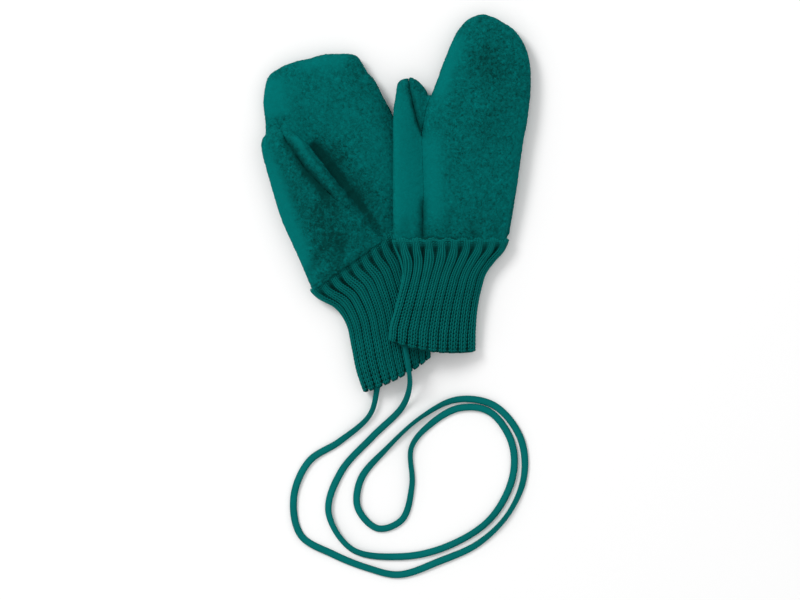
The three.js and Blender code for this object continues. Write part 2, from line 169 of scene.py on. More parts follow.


# %% [markdown]
# The teal is so deep that it reflects almost no red. The fleece is painted lighter on the
# raised tips of its nap and darker in its pits, as painted light and painted shade. A little
# sheen lifts the edges, where the eye meets the fibres end on. The tips and pits follow the
# nap's own relief, which the mesh carries as an attribute, so that colour and form agree, and
# a finer noise adds more small pits of painted shade.

# %% Finishes
# The dark end also carries the painted shade in pits, troughs and ruffled places.
FLEECE_LIGHT = (0.0004, 0.160, 0.153, 1)
FLEECE_DARK = (0.0008, 0.034, 0.030, 1)
SHEEN_TINT = (0.0, 0.62, 0.60, 1)
SHEEN_ROUGHNESS = 0.6
CLOTH_SPECULAR = 0.02
FIBRE_SIZE = 1.5 * MM
PIT_SIZE = 2.4 * MM
PIT_LEVEL = 0.45
PIT_SHARPNESS = 7
CLOUD_SIZE = 17 * MM
# How strongly the nap's relief and pits paint light on the tips and shade in the pits.
TIP_LIGHT = 0.20
NAP_SHADING_SHARE = 0.60
FIBRE_SHARE = 1.5
CLOUD_SHARE = 0.3
PIT_SHADE_SHARE = 0.42
# Brushed places: calmer relief with painted light; ruffled places: painted shade.
BRUSHED_CALM = 0.85
BRUSHED_PAINTED_LIGHT = 0.72
RUFFLED_PAINTED_SHADE = 0.42
# Painted shade in the seam gutters and troughs, by how deep they sink.
TROUGH_SHADE_FADE = 0.75
TROUGH_SHADE_DEPTH = 0.36
FLEECE_BUMP = 0.55 * MM
DYE_SIZE = 9 * MM
YARN_LIGHT = 0.12
# Share of the stored value that paints shade into the knit's grooves and onto the cord's edges.
PAINTED_SHADE_SHARE = 0.75
PLY_SHARE = 0.5
DYE_SHARE = 0.35
YARN_BUMP = 0.12 * MM
# The dark ends of the knit and cord colours take their painted shade.
KNIT_LIGHT = (0.0020, 0.158, 0.146, 1)
KNIT_DARK = (0.0006, 0.012, 0.010, 1)
CORD_LIGHT = (0.0020, 0.155, 0.148, 1)
CORD_DARK = (0.0008, 0.070, 0.066, 1)


def new_material(name):
    material = bpy.data.materials.new(name)
    material.use_nodes = True
    return material, Graph(material.node_tree)


def finished(graph, colour, relief_and_painted_shade, depth, roughness, sheen):
    """Joins colour and relief to a cloth shader and the shader to the output."""
    normal = graph.add("ShaderNodeBump", {}, {"Height": relief_and_painted_shade, "Distance": depth, "Strength": 1.0})
    inputs = {"Roughness": roughness, "Sheen Weight": sheen, "Sheen Roughness": SHEEN_ROUGHNESS,
              "Sheen Tint": SHEEN_TINT, "Specular IOR Level": CLOTH_SPECULAR,
              "Base Color": colour, "Normal": normal}
    shader = graph.add("ShaderNodeBsdfPrincipled", {}, inputs)
    graph.add("ShaderNodeOutputMaterial", {}, {"Surface": shader})


def fleece_finish():
    """Painted light on the nap's tips and where it is brushed flat, painted shade in its pits, troughs and
    ruffled places.
    """
    material, graph = new_material("teal fleece")
    where = graph.add("ShaderNodeTexCoord", {}, {}, "Object")
    fibres = graph.noise(where, FIBRE_SIZE, 3.0, 0.65, 1.8)
    # Painted light on the nap's raised tips and painted shade in its pits, from the nap's relief and a
    # finer noise of pits.
    pits = ((PIT_LEVEL - graph.noise(where, PIT_SIZE, 2.0, 0.55, 2.6)) * PIT_SHARPNESS).clamped()
    clouds = graph.noise(where, CLOUD_SIZE)
    tips = TIP_LIGHT + graph.attribute("nap") * NAP_SHADING_SHARE + (fibres - 0.5) * FIBRE_SHARE
    tips = tips + (clouds - 0.5) * CLOUD_SHARE - pits * PIT_SHADE_SHARE
    # Where the nap is brushed flat: calmer relief and painted light; where it is ruffled: painted shade.
    brushed_and_painted_light = graph.attribute("brushed_and_painted_light")
    flat = brushed_and_painted_light.clamped()
    ruffled_and_shaded = (brushed_and_painted_light * -1).clamped()
    # Painted shade in the seam gutters and troughs, the deeper the darker.
    trough_shade = graph.attribute("trough_shade")
    light = tips * (1 - flat * BRUSHED_CALM) + flat * BRUSHED_PAINTED_LIGHT - ruffled_and_shaded * RUFFLED_PAINTED_SHADE
    light = light * (1 - trough_shade * TROUGH_SHADE_FADE) - trough_shade * TROUGH_SHADE_DEPTH
    colour = graph.mixed(light.clamped(), FLEECE_DARK, FLEECE_LIGHT)
    finished(graph, colour, fibres, FLEECE_BUMP, 0.95, 0.10)
    return material


def yarn_finish(name, light, dark, strand):
    """Knitted or braided yarn: fine plies along the strand, a little uneven dye, and painted shade and
    painted light from a stored value.
    """
    material, graph = new_material(name)
    where = graph.add("ShaderNodeTexCoord", {}, {}, "Object")
    plies = graph.noise(where, strand, 2.0, 0.6)
    dye = graph.noise(where, DYE_SIZE)
    # The stored value paints shade into grooves, between loops and on the cord's edges; plies and dye vary
    # the yarn's own tone.
    shade = graph.attribute("relief_and_painted_shade") * PAINTED_SHADE_SHARE + (plies - 0.5) * PLY_SHARE
    shade = shade + (dye - 0.5) * DYE_SHARE + YARN_LIGHT
    colour = graph.mixed(shade.clamped(), dark, light)
    finished(graph, colour, plies, YARN_BUMP, 0.85, 0.06)
    return material


FLEECE = fleece_finish()
KNIT = yarn_finish("teal rib knit", KNIT_LIGHT, KNIT_DARK, 0.35 * MM)
CORD = yarn_finish("teal cord", CORD_LIGHT, CORD_DARK, 0.45 * MM)

# %% [markdown]
# Every piece is a mesh from arrays of points and faces. These helpers make one, close it,
# keep numbers on its points and hold it above whatever it lies on.

# %% Meshes from arrays
def object_from(name, vertices, faces, materials=(), edges=()):
    """A mesh object at the origin, from points in metres."""
    mesh = bpy.data.meshes.new(name)
    mesh.from_pydata(np.asarray(vertices).tolist(), edges, np.asarray(faces).tolist())
    for material in materials:
        mesh.materials.append(material)
    mesh.update()
    made = bpy.data.objects.new(name, mesh)
    scene.collection.objects.link(made)
    return made


def unit(vectors):
    """The vectors along the last axis, each one long."""
    return vectors / np.maximum(np.linalg.norm(vectors, axis=-1), 1e-20)[..., None]


def tube_faces(rings, sides):
    """The quads between rings of points, in order."""
    ring, side = np.meshgrid(np.arange(rings - 1), np.arange(sides), indexing="ij")
    a = ring * sides + side
    b = ring * sides + (side + 1) % sides
    return np.stack([a, b, b + sides, a + sides], axis=-1).reshape(-1, 4)


def add_caps(target, loops=()):
    """Closes loops of points with one face each and turns every face outwards."""
    mesh = bmesh.new()
    mesh.from_mesh(target.data)
    mesh.verts.ensure_lookup_table()
    for loop in loops:
        mesh.faces.new([mesh.verts[i] for i in loop])
    bmesh.ops.recalc_face_normals(mesh, faces=mesh.faces)
    mesh.to_mesh(target.data)
    mesh.free()


def store(target, name, values):
    """Keeps one number for each point of a mesh, for its material or its nodes."""
    attribute = target.data.attributes.new(name, "FLOAT", "POINT")
    attribute.data.foreach_set("value", np.asarray(values, dtype=np.float32).ravel())


def smooth_shading(target):
    target.data.polygons.foreach_set("use_smooth", [True] * len(target.data.polygons))


def store_vectors(target, name, values):
    attribute = target.data.attributes.new(name, "FLOAT_VECTOR", "POINT")
    attribute.data.foreach_set("vector", np.asarray(values, dtype=np.float32).ravel())


def keep_above(target, floor):
    """Flattens whatever would reach below what the piece lies on."""
    points = np.zeros(len(target.data.vertices) * 3)
    target.data.vertices.foreach_get("co", points)
    points = points.reshape(-1, 3)
    points[:, 2] = np.maximum(points[:, 2], floor(points))
    target.data.vertices.foreach_set("co", points.ravel())
    target.data.update()


# %% [markdown]
# Plain studio light: a soft lamp at the upper left, as the shaded right sides of the
# thumb and the cuffs show, and a bright even surround that keeps the shadows open.

# %% Table and light
SURROUND = 0.80
LAMP_POWER = 55
LAMP_SIZE = 1.1
LAMP_PLACE = Vector((-1.8, 1.5, 2.2))
TABLE_HALF = 3
TABLE_LEVEL = -0.2 * MM
TABLE_WHITE = (0.9, 0.9, 0.9, 1)


def studio():
    world = bpy.data.worlds.new("studio")
    world.use_nodes = True
    graph = Graph(world.node_tree)
    light = graph.add("ShaderNodeBackground", {}, {"Color": (1, 1, 1, 1), "Strength": SURROUND})
    graph.add("ShaderNodeOutputWorld", {}, {"Surface": light})
    scene.world = world
    lamp_data = bpy.data.lights.new("soft lamp", "AREA")
    lamp_data.energy = LAMP_POWER
    lamp_data.size = LAMP_SIZE
    lamp = bpy.data.objects.new("soft lamp", lamp_data)
    lamp.location = LAMP_PLACE
    lamp.rotation_euler = (-LAMP_PLACE).to_track_quat("-Z", "Y").to_euler()
    scene.collection.objects.link(lamp)


def table_top():
    material, graph = new_material("white table")
    inputs = {"Base Color": TABLE_WHITE, "Roughness": 0.9, "Specular IOR Level": 0.1}
    shader = graph.add("ShaderNodeBsdfPrincipled", {}, inputs)
    graph.add("ShaderNodeOutputMaterial", {}, {"Surface": shader})
    turns = ((-1, -1), (1, -1), (1, 1), (-1, 1))
    corners = [(x * TABLE_HALF, y * TABLE_HALF, TABLE_LEVEL) for x, y in turns]
    table = object_from("table", corners, [(0, 1, 2, 3)], [material])
    table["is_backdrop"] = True


studio()
table_top()

# %% [markdown]
# The cord is one narrow knitted tube that lies flat as a band. It leaves the hem of the left
# cuff, runs round two open loops on the table and goes up into the right cuff. The points
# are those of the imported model's route. A band does not lie on one face all the way: it
# rolls over slowly, so it looks now broad and now narrow, and its height over the table
# follows from how it is turned.

# %% Cord
CORD_ROUTE = np.array([
    [-9.8, -98.6, 5], [-14.2, -115.6, 2.6], [-30.8, -130.4, 1.75], [-47.9, -141.6, 1.75],
    [-56.2, -161.2, 1.75], [-52.3, -182.1, 1.75], [-34.7, -192.5, 1.75], [-15.4, -200.2, 1.75],
    [1.7, -203.8, 1.75], [24.2, -196.3, 1.75], [45.1, -186.7, 1.75], [61.6, -170.5, 1.75],
    [70.4, -149.6, 1.75], [68.2, -128.2, 1.75], [53.9, -110.8, 1.75], [33.6, -107.5, 1.75],
    [13.8, -117.2, 1.75], [-5.5, -134.8, 1.75], [-19.3, -151.3, 1.75], [-20.9, -167.2, 1.75],
    [-9.9, -178.4, 1.75], [3.3, -173.5, 1.75], [8.8, -154.6, 1.75], [8.5, -133.7, 1.75],
    [18.7, -121.3, 1.75], [34.7, -112.2, 1.75], [51.2, -114.1, 1.75], [63.3, -130.4, 1.75],
    [64.1, -150.2, 1.75], [51.7, -173.3, 1.75], [27.5, -188.5, 1.75], [2.2, -193.9, 1.75],
    [-24.2, -189.8, 1.75], [-37.1, -169.4, 1.75], [-30.3, -147.4, 1.75], [-13.2, -128.2, 1.75],
    [3.3, -111.7, 2.6], [7.4, -100.5, 7.6], [7, -91, 13.2], [3.6, -72, 16.1],
]) * MM
CORD_LYING = 1.75 * MM
CORD_WIDTH = 3.9 * MM
CORD_THICKNESS = 1.8 * MM
CORD_RINGS = 620
CORD_SIDES = 16
CORD_CLEARANCE = 0.05 * MM
STEPS_PER_POINT = 24
# How far the band rolls over, in radians, over what length, in metres, and where it starts.
CORD_ROLLS = ((0.55, 0.047, 0.6), (0.40, 0.029, 2.1), (0.25, 0.0133, 0.0))


def centripetal(points, count):
    """A smooth line through the points, evenly divided along its length."""
    line = np.vstack([2 * points[0] - points[1], points, 2 * points[-1] - points[-2]])
    knots = np.concatenate([[0], np.cumsum(np.linalg.norm(np.diff(line, axis=0), axis=1) ** 0.5)])
    pieces = []
    for i in range(1, len(line) - 2):
        t = np.linspace(knots[i], knots[i + 1], STEPS_PER_POINT, endpoint=False)[:, None]
        k = knots[i - 1:i + 3]
        p = line[i - 1:i + 3]
        first = [((k[j + 1] - t) * p[j] + (t - k[j]) * p[j + 1]) / (k[j + 1] - k[j]) for j in range(3)]
        second = [((k[j + 2] - t) * first[j] + (t - k[j]) * first[j + 1]) / (k[j + 2] - k[j])
                  for j in range(2)]
        pieces.append(((k[2] - t) * second[0] + (t - k[1]) * second[1]) / (k[2] - k[1]))
    fine = np.concatenate([*pieces, [line[-2]]])
    lengths = np.concatenate([[0], np.cumsum(np.linalg.norm(np.diff(fine, axis=0), axis=1))])
    even = np.linspace(0, lengths[-1], count)
    return np.stack([np.interp(even, lengths, fine[:, i]) for i in range(3)], axis=1), even


def make_cord():
    centre, along = centripetal(CORD_ROUTE, CORD_RINGS)
    forward = unit(np.gradient(centre, axis=0))
    side = unit(np.cross(forward, (0, 0, 1)))
    up = np.cross(side, forward)
    roll = sum(reach * np.sin(along / length + start) for reach, length, start in CORD_ROLLS)
    half = np.hypot(CORD_WIDTH / 2 * np.sin(roll), CORD_THICKNESS / 2 * np.cos(roll))
    centre[:, 2] += half - CORD_LYING
    angle = np.linspace(0, 2 * np.pi, CORD_SIDES, endpoint=False)
    flat = np.sign(np.cos(angle)) * np.abs(np.cos(angle)) ** 0.8 * CORD_WIDTH / 2
    thick = np.sin(angle) * CORD_THICKNESS / 2
    across = flat[None] * np.cos(roll)[:, None] - thick[None] * np.sin(roll)[:, None]
    rise = flat[None] * np.sin(roll)[:, None] + thick[None] * np.cos(roll)[:, None]
    rings = centre[:, None] + across[..., None] * side[:, None] + rise[..., None] * up[:, None]
    rings[..., 2] = np.maximum(rings[..., 2], CORD_CLEARANCE)
    vertices = rings.reshape(-1, 3)
    first = list(range(CORD_SIDES))
    last = [len(vertices) - CORD_SIDES + i for i in first]
    cord = object_from("cord_band", vertices, tube_faces(CORD_RINGS, CORD_SIDES), [CORD])
    add_caps(cord, [first[::-1], last])
    # Painted shade on the band's narrow edges and painted light on its broad faces.
    store(cord, "relief_and_painted_shade", np.tile(0.35 + 0.5 * np.sin(angle) ** 2, CORD_RINGS))
    smooth_shading(cord)
    length = float(np.linalg.norm(np.diff(centre, axis=0), axis=1).sum())
    print("cord length in mm:", round(length / MM, 1))
    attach(cord, "root")
    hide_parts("cord")


make_cord()

# %% [markdown]
# The shapes of hands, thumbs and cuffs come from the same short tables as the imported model.
# A row is one section across the mitten: its left and right end in plan, their heights, how
# far the crown rises, how deep the underside hangs, how the crown leans and how far the
# section bows forward. All are in millimetres.

# %% Sections
LEFT_HAND = np.array([
    [-45, -47.3, 4.4, -12.1, 5.5, 5, 5.5, 5.5, 0, 0],
    [-51.5, -25.4, 6.1, 3.9, 5.5, 5, 6.3, 5.5, 0.1, 0],
    [-60, -4.8, 6.1, 19.8, 5.5, 5, 6.3, 5.5, 0.2, 0],
    [-66.8, 14.6, 3.3, 34.7, 5.5, 5, 6.3, 5.5, 0.3, 0],
    [-72, 34, -1.7, 49, 5.5, 5, 6.5, 5.5, 0.3, 0],
    [-73.2, 48.4, -7.2, 59.4, 6, 5.5, 7, 6, 0.1, 0],
    [-72.6, 60, -11, 67.1, 6, 5.5, 7, 6, 0, 0],
    [-70.4, 69.3, -15.4, 73.7, 6, 5.5, 6.5, 6, 0, 0],
    [-64.7, 74.4, -18.4, 79.4, 6, 5.5, 5.5, 6, 0, 0],
    [-56.6, 77.9, -24, 82.2, 6, 5.5, 4, 6, 0, 0],
    [-45.5, 81.3, -32, 83.1, 6, 5.5, 2, 4, 0, 0],
])
LEFT_THUMB = np.array([
    [-46, -47.9, 0, -15, 6.5, 6, 6.5, 3, 0, 0],
    [-54.7, -27, -18.7, -3.9, 8, 8.5, 7, 5, 0.3, 0],
    [-62.4, -9.9, -27, 7.2, 8.5, 10.5, 6.5, 6, 0.4, 0],
    [-68, 7.7, -34.7, 15.4, 9, 12.5, 5.5, 6, 0.4, 0],
    [-72.3, 23.1, -41.3, 23.7, 9.5, 14, 4.5, 4.5, 0.4, 0],
    [-74.4, 33, -48.4, 32.5, 10, 14.5, 4, 4, 0.4, 0],
    [-72.6, 38.6, -53.4, 36.9, 10.5, 14, 3.2, 3.5, 0.3, 0],
    [-67, 40.2, -57.5, 40, 12, 13.5, 1.8, 2, 0, 0],
])
RIGHT_HAND = np.array([
    [15.4, -20.1, 61.6, -20.4, 8.5, 5.5, 5.5, 8.5, 0, 0],
    [15.4, -0.6, 64.9, -1.1, 9, 6, 7, 9, 0, 0],
    [14.9, 18.7, 67.7, 18.2, 9, 6.5, 8, 9, 0, 0],
    [14.3, 34.1, 69.9, 33.6, 9, 6.5, 8.5, 9, 0, 0],
    [15.1, 44, 71.8, 43.5, 8.5, 6.5, 8.5, 8.5, 0, 0],
    [17.1, 53.9, 73.2, 53.4, 8, 6.5, 8.5, 8, 0, 0],
    [21.1, 64.4, 74.1, 63.8, 7.5, 6.5, 8, 7.5, 0, 0],
    [25.5, 76.5, 73.8, 75.9, 7, 6.5, 7.5, 7, 0, 0],
    [29.9, 87.5, 70.8, 86.9, 7, 6.5, 6.5, 7, 0, 0],
    [34.2, 96, 64.4, 96.3, 7, 6.5, 5, 7, 0, 0],
    [39, 102, 56.4, 102, 7, 6.5, 3.2, 5.5, 0, 0],
    [43.5, 104.2, 51, 104.4, 7, 6.5, 1.6, 3.5, 0, 0],
])
RIGHT_THUMB = np.array([
    [-1.7, -20.4, 30, -20.4, 14, 5, 3.8, 9, -0.4, 0],
    [-1.7, -0.6, 30, -0.6, 14.5, 5, 4, 10, -0.5, 0],
    [-1.7, 18.7, 28, 18.7, 14.5, 5, 4.2, 10, -0.5, 0],
    [-1.7, 32.5, 25, 32.5, 14.5, 5, 4.4, 10, -0.4, 0],
    [-1.7, 43.5, 20, 43.5, 14.5, 5.5, 4.4, 10, -0.2, 0],
    [-1.3, 52.8, 18.4, 52.8, 14, 6, 4.4, 8.5, 0, 0],
    [-0.1, 59.4, 17.7, 59.4, 13, 6.5, 4.2, 8.5, 0, 0],
    [0.6, 64.8, 15.9, 64.4, 11.5, 7, 3.6, 7.5, 0, 0],
    [2.4, 67.6, 12.4, 67.4, 10, 7.5, 2.2, 5, 0, 0],
    [5.4, 68.8, 9.2, 68.7, 9, 8, 1, 3, 0, 0],
])
LEFT_CUFF = np.array([
    [-46.5, -48.7, 5.4, -11.8, 5.5, 5, 5.6, 5.5, 0, 0],
    [-42.9, -52.5, 7.4, -18.7, 5.5, 5, 5.5, 5.5, 0, 0],
    [-34.7, -56.7, 9.9, -26.4, 5.5, 5, 5.3, 5.5, 0, 0],
    [-30.3, -61.1, 12.1, -36.3, 5.5, 5, 5, 5.5, 0, 0],
    [-26.7, -68.2, 14.9, -48.4, 5.5, 5, 5, 5.5, 0, 0],
    [-24.5, -78.7, 17.1, -60.5, 5.5, 5, 5, 5.5, 0, 0],
    [-22, -91.3, 18.7, -72.6, 5.5, 5, 5, 5.5, 0, -1],
    [-18.2, -102.6, 19.2, -83.5, 5.5, 5, 5.2, 5.5, 0, -1.8],
])
RIGHT_CUFF = np.array([
    [-1.9, -20.9, 61.8, -20.9, 14, 5.5, 4.8, 10, 0, 0],
    [0, -26.4, 59.7, -25.9, 14.5, 5.5, 4.8, 10, 0, 0],
    [2.5, -32.5, 54.2, -31.9, 15, 5.5, 4.6, 10, 0, 0],
    [3.3, -39.1, 49.5, -38.5, 15.5, 5.5, 4.5, 10.5, 0, 0],
    [1.9, -47.3, 46.8, -47.3, 16, 5.5, 4.4, 10.5, 0, 0],
    [-0.8, -58.3, 44.7, -58.3, 16.5, 5.5, 4.4, 10.5, 0, 0],
    [-3.3, -67, 43.8, -70.4, 17, 5.5, 4.8, 10.5, -0.2, -1.2],
    [-4.1, -73.8, 43.7, -80, 17.5, 5.5, 5.2, 10.5, -0.3, -3],
])
TOP_ROUNDNESS = 2.3
UNDER_ROUNDNESS = 3


def rows_at(table, places):
    """Sections between the rows of a table, on a smooth curve through them."""
    places = np.atleast_1d(np.asarray(places, dtype=float))
    last = len(table) - 1
    index = np.clip(np.floor(places).astype(int), 0, last - 1)
    a, b, c, d = (table[np.clip(index + step, 0, last)] for step in (-1, 0, 1, 2))
    t = (places - index)[:, None]
    bend = 2 * a - 5 * b + 4 * c - d
    twist = 3 * b - a - 3 * c + d
    return b + 0.5 * t * (c - a + t * (bend + t * twist))


def forward_of(rows):
    """The direction in plan from the wrist to the tip, square to each section."""
    across = unit(rows[:, 2:4] - rows[:, 0:2])
    return np.stack([-across[:, 1], across[:, 0], np.zeros(len(rows))], axis=1)


def moved_row(row, distance):
    """A section moved forward by a distance in millimetres."""
    moved = row.copy()
    step = forward_of(row[None])[0, :2] * distance
    moved[0:2] += step
    moved[2:4] += step
    return moved


def section_rings(rows, count):
    """The closed outlines of some sections, in metres, each of count points."""
    left = rows[:, [0, 1, 4]][:, None]
    right = rows[:, [2, 3, 5]][:, None]
    crown, depth, lean, bow = (rows[:, i][:, None] for i in (6, 7, 8, 9))
    angle = np.linspace(0, 2 * np.pi, count, endpoint=False)
    power = 2 / np.where(np.sin(angle) >= 0, TOP_ROUNDNESS, UNDER_ROUNDNESS)
    across = (np.sign(np.cos(angle)) * np.abs(np.cos(angle)) ** power)[None]
    up = (np.sign(np.sin(angle)) * np.abs(np.sin(angle)) ** power)[None]
    points = (left + right) / 2 + across[..., None] * (right - left) / 2
    points[..., 2] += up * np.where(up > 0, crown * (1 + lean * across), depth)
    points += (bow * (1 - across ** 2))[..., None] * forward_of(rows)[:, None]
    points[..., 2] = np.maximum(points[..., 2], 0)
    return points * MM


print("sections across the left hand:", len(LEFT_HAND))

# %% [markdown]
# A hand is two soft volumes that run into each other, the palm and the thumb. Both are
# lofted finely from their sections, with a rounded end added past the last row, and then
# remeshed as one skin of small even squares. Even squares are what the nap needs later: it
# moves every point a little, and long thin faces would show it unevenly.

# %% Hands as one skin
VOXEL = 0.70 * MM
LOFT_STATIONS = 130
LOFT_POINTS = 150
WRIST_RUN = 5
TIP_RUN = 1.3
TIP_STEPS = (0.45, 0.75, 0.93)
SKIN_SMOOTHING = 4
SOFTENING = 100
PLANE_REACH = 0.01 * MM
WELD_REACH = 0.05 * MM
# Middle in plan and radius, in millimetres, of each place that is eased more.
LEFT_SOFT_PLACES = np.array([[-40.0, 80.0, 15.0], [-66.0, 42.0, 15.0], [-16.0, 76.0, 8.0]])
RIGHT_SOFT_PLACES = np.array([
    [50, 99, 18], [13, 63, 5], [16.5, 55, 7],
    [14.5, 30, 9], [14.8, 19, 9], [14.8, 8, 9],
])


def rounded_tip(row):
    """Sections past the last one, which close the tip in a quarter circle."""
    tip = []
    middle = (row[0:2] + row[2:4]) / 2
    for step in TIP_STEPS:
        keep = math.sqrt(1 - step ** 2)
        closed = moved_row(row, TIP_RUN * step)
        shift = closed[0:2] - row[0:2]
        closed[0:2] = middle + (row[0:2] - middle) * keep + shift
        closed[2:4] = middle + (row[2:4] - middle) * keep + shift
        closed[6:8] = row[6:8] * keep
        tip.append(closed)
    return np.array(tip)


def loft_of(table, name):
    """A closed volume through the sections of a table, run on past the wrist."""
    rows = rows_at(table, np.linspace(0, len(table) - 1, LOFT_STATIONS))
    rows = np.concatenate([moved_row(rows[0], -WRIST_RUN)[None], rows, rounded_tip(rows[-1])])
    rings = section_rings(rows, LOFT_POINTS)
    points = rings.reshape(-1, 3)
    made = object_from(name, points, tube_faces(len(rows), LOFT_POINTS))
    first = list(range(LOFT_POINTS))
    last = [len(points) - LOFT_POINTS + i for i in range(LOFT_POINTS)]
    add_caps(made, [first, last])
    return made


def evaluated_mesh(target):
    """A copy of an object's mesh as its modifiers leave it."""
    evaluated = target.evaluated_get(bpy.context.evaluated_depsgraph_get())
    mesh = bmesh.new()
    mesh.from_mesh(evaluated.to_mesh())
    return mesh


def hand_skin(name, tables, soft_places):
    """The skin of a hand and its thumb, open at the wrist, eased at its tips."""
    volumes = [loft_of(table, f"{name} volume {i}") for i, table in enumerate(tables)]
    with bpy.context.temp_override(active_object=volumes[0], selected_editable_objects=volumes):
        bpy.ops.object.join()
    remesh = volumes[0].modifiers.new("even squares", "REMESH")
    remesh.mode = "VOXEL"
    remesh.voxel_size = VOXEL
    mesh = evaluated_mesh(volumes[0])
    wrist = tables[0][0]
    middle = Vector(((wrist[0] + wrist[2]) / 2, (wrist[1] + wrist[3]) / 2, 0)) * MM
    everything = [*mesh.verts, *mesh.edges, *mesh.faces]
    bmesh.ops.bisect_plane(mesh, geom=everything, dist=PLANE_REACH, plane_co=middle,
                           plane_no=Vector(forward_of(wrist[None])[0]), clear_inner=True)
    bmesh.ops.remove_doubles(mesh, verts=mesh.verts, dist=WELD_REACH)
    bmesh.ops.triangulate(mesh, faces=mesh.faces)
    points = np.array([vertex.co for vertex in mesh.verts])
    triangles = np.array([[vertex.index for vertex in face.verts] for face in mesh.faces])
    mesh.free()
    bpy.data.objects.remove(volumes[0])
    points = smoothed(points, triangles, SKIN_SMOOTHING)
    share = np.zeros(len(points))
    for x, y, radius in soft_places:
        away = np.hypot(points[:, 0] - x * MM, points[:, 1] - y * MM) / (radius * MM)
        share = np.maximum(share, np.clip(2 - 2 * away, 0, 1))
    points += (smoothed(points, triangles, SOFTENING) - points) * share[:, None]
    print(f"{name} skin: {len(triangles)} triangles")
    return points, triangles


def sides_of(triangles):
    """The three sides of every triangle as pairs of points, all first sides first."""
    return np.concatenate([triangles[:, [0, 1]], triangles[:, [1, 2]], triangles[:, [2, 0]]])


def edges_of(triangles):
    """Every edge of the triangles once, and how many triangles share it."""
    return np.unique(np.sort(sides_of(triangles), axis=1), axis=0, return_counts=True)


def neighbour_mean(values, edges):
    """For each point, the mean of a value over the points it shares an edge with."""
    total = np.zeros_like(values)
    count = np.zeros(len(values))
    for near, far in ((0, 1), (1, 0)):
        np.add.at(total, edges[:, near], values[edges[:, far]])
        np.add.at(count, edges[:, near], 1)
    count = np.maximum(count, 1)
    return total / (count[:, None] if values.ndim == 2 else count)


def smoothed(points, triangles, times):
    """The points eased towards their neighbours, the open edge along itself only."""
    edges, uses = edges_of(triangles)
    rim = edges[uses == 1]
    on_rim = np.zeros(len(points), dtype=bool)
    on_rim[rim.ravel()] = True
    points = points.copy()
    for _ in range(times):
        eased = neighbour_mean(points, edges)
        along_rim = neighbour_mean(points, rim)
        points = 0.5 * points + 0.5 * np.where(on_rim[:, None], along_rim, eased)
    return points


def normals_of(points, triangles):
    """The outward normal at each point."""
    a, b, c = (points[triangles[:, i]] for i in range(3))
    face = np.cross(b - a, c - a)
    normals = np.zeros_like(points)
    for i in range(3):
        np.add.at(normals, triangles[:, i], face)
    return unit(normals)


left_skin = hand_skin("left", [LEFT_HAND, LEFT_THUMB], LEFT_SOFT_PLACES)
right_skin = hand_skin("right", [RIGHT_HAND, RIGHT_THUMB], RIGHT_SOFT_PLACES)

# %% [markdown]
# Each hand is sewn from three panels. The seam between back and palm runs round the edge of
# the hand at the height of the section ends, and the palm is cut in two by a slanted seam
# from the thumb's root to the wrist. A triangle belongs to the back where it lies on the
# back's side of that height, to the lower palm where it lies inside the thumb's outline or
# past the slanted seam, and to the upper palm otherwise.

# %% Panels
LEFT_PALM_SEAM = [(-64.0, 45.0), (-60.5, 34.0), (-50.0, 18.7), (-39.0, 7.7), (-31.0, 1.0),
                  (-19.0, -8.0), (-5.0, -19.5), (2.0, -26.0)]
RIGHT_PALM_SEAM = [(6.0, 76.0), (7.2, 67.1), (8.8, 60.0), (10.5, 52.8), (12.1, 46.2),
                   (14.6, 39.1), (28.0, 22.0), (48.0, 0.0), (66.0, -24.0)]
LEFT_THUMB_ROOT = [(-78.0, 35.5), (-66.0, 24.0)]
LEFT_CROTCH = 4
LEFT_BEYOND_CUFF = [(2, -70), (-90, -70)]
LEFT_BEYOND_PALM = [(-90, 40)]
LEFT_BEYOND_THUMB = [(-90, 60)]
RIGHT_BEYOND_THUMB = [(-30, -24), (-30, 76)]
SEAM_REACH = 40
THUMB_RISE = 0.35 * MM
SEAM_ROWS = 60
LOOK_FROM = 0.1


def seam_sheet(table, left_reach):
    """The sheet at the seam's level that parts a back from its palm, as a search tree."""
    rows = rows_at(table, np.linspace(0, len(table) - 1, SEAM_ROWS))
    rows = np.concatenate([moved_row(rows[0], -SEAM_REACH)[None], rows,
                           moved_row(rows[-1], SEAM_REACH)[None]])
    across = unit(rows[:, 2:4] - rows[:, 0:2])
    left = rows[:, [0, 1, 4]].copy()
    right = rows[:, [2, 3, 5]].copy()
    left[:, :2] -= across * left_reach
    right[:, :2] += across * SEAM_REACH
    points = np.stack([left, right], axis=1).reshape(-1, 3) * MM
    faces = [(2 * i, 2 * i + 1, 2 * i + 3, 2 * i + 2) for i in range(len(rows) - 1)]
    return BVHTree.FromPolygons(points.tolist(), faces)


def heights_over(tree, places, missing):
    """How high a tree's top face lies over each place, or missing where it has none."""
    found = np.full(len(places), missing)
    for i, (x, y) in enumerate(places[:, :2]):
        hit = tree.ray_cast(Vector((x, y, LOOK_FROM)), Vector((0, 0, -1)))[0]
        if hit is not None:
            found[i] = hit.z
    return found


def inside_outline(places, outline):
    """Which places lie inside a closed outline in plan, given in millimetres."""
    x, y = places[:, 0] / MM, places[:, 1] / MM
    inside = np.zeros(len(places), dtype=bool)
    for (x1, y1), (x2, y2) in zip(outline, outline[1:] + outline[:1]):
        if y1 == y2:
            continue
        crosses = (y1 > y) != (y2 > y)
        inside ^= crosses & (x < x1 + (y - y1) * (x2 - x1) / (y2 - y1))
    return inside


BACK, UPPER_PALM, LOWER_PALM = range(3)


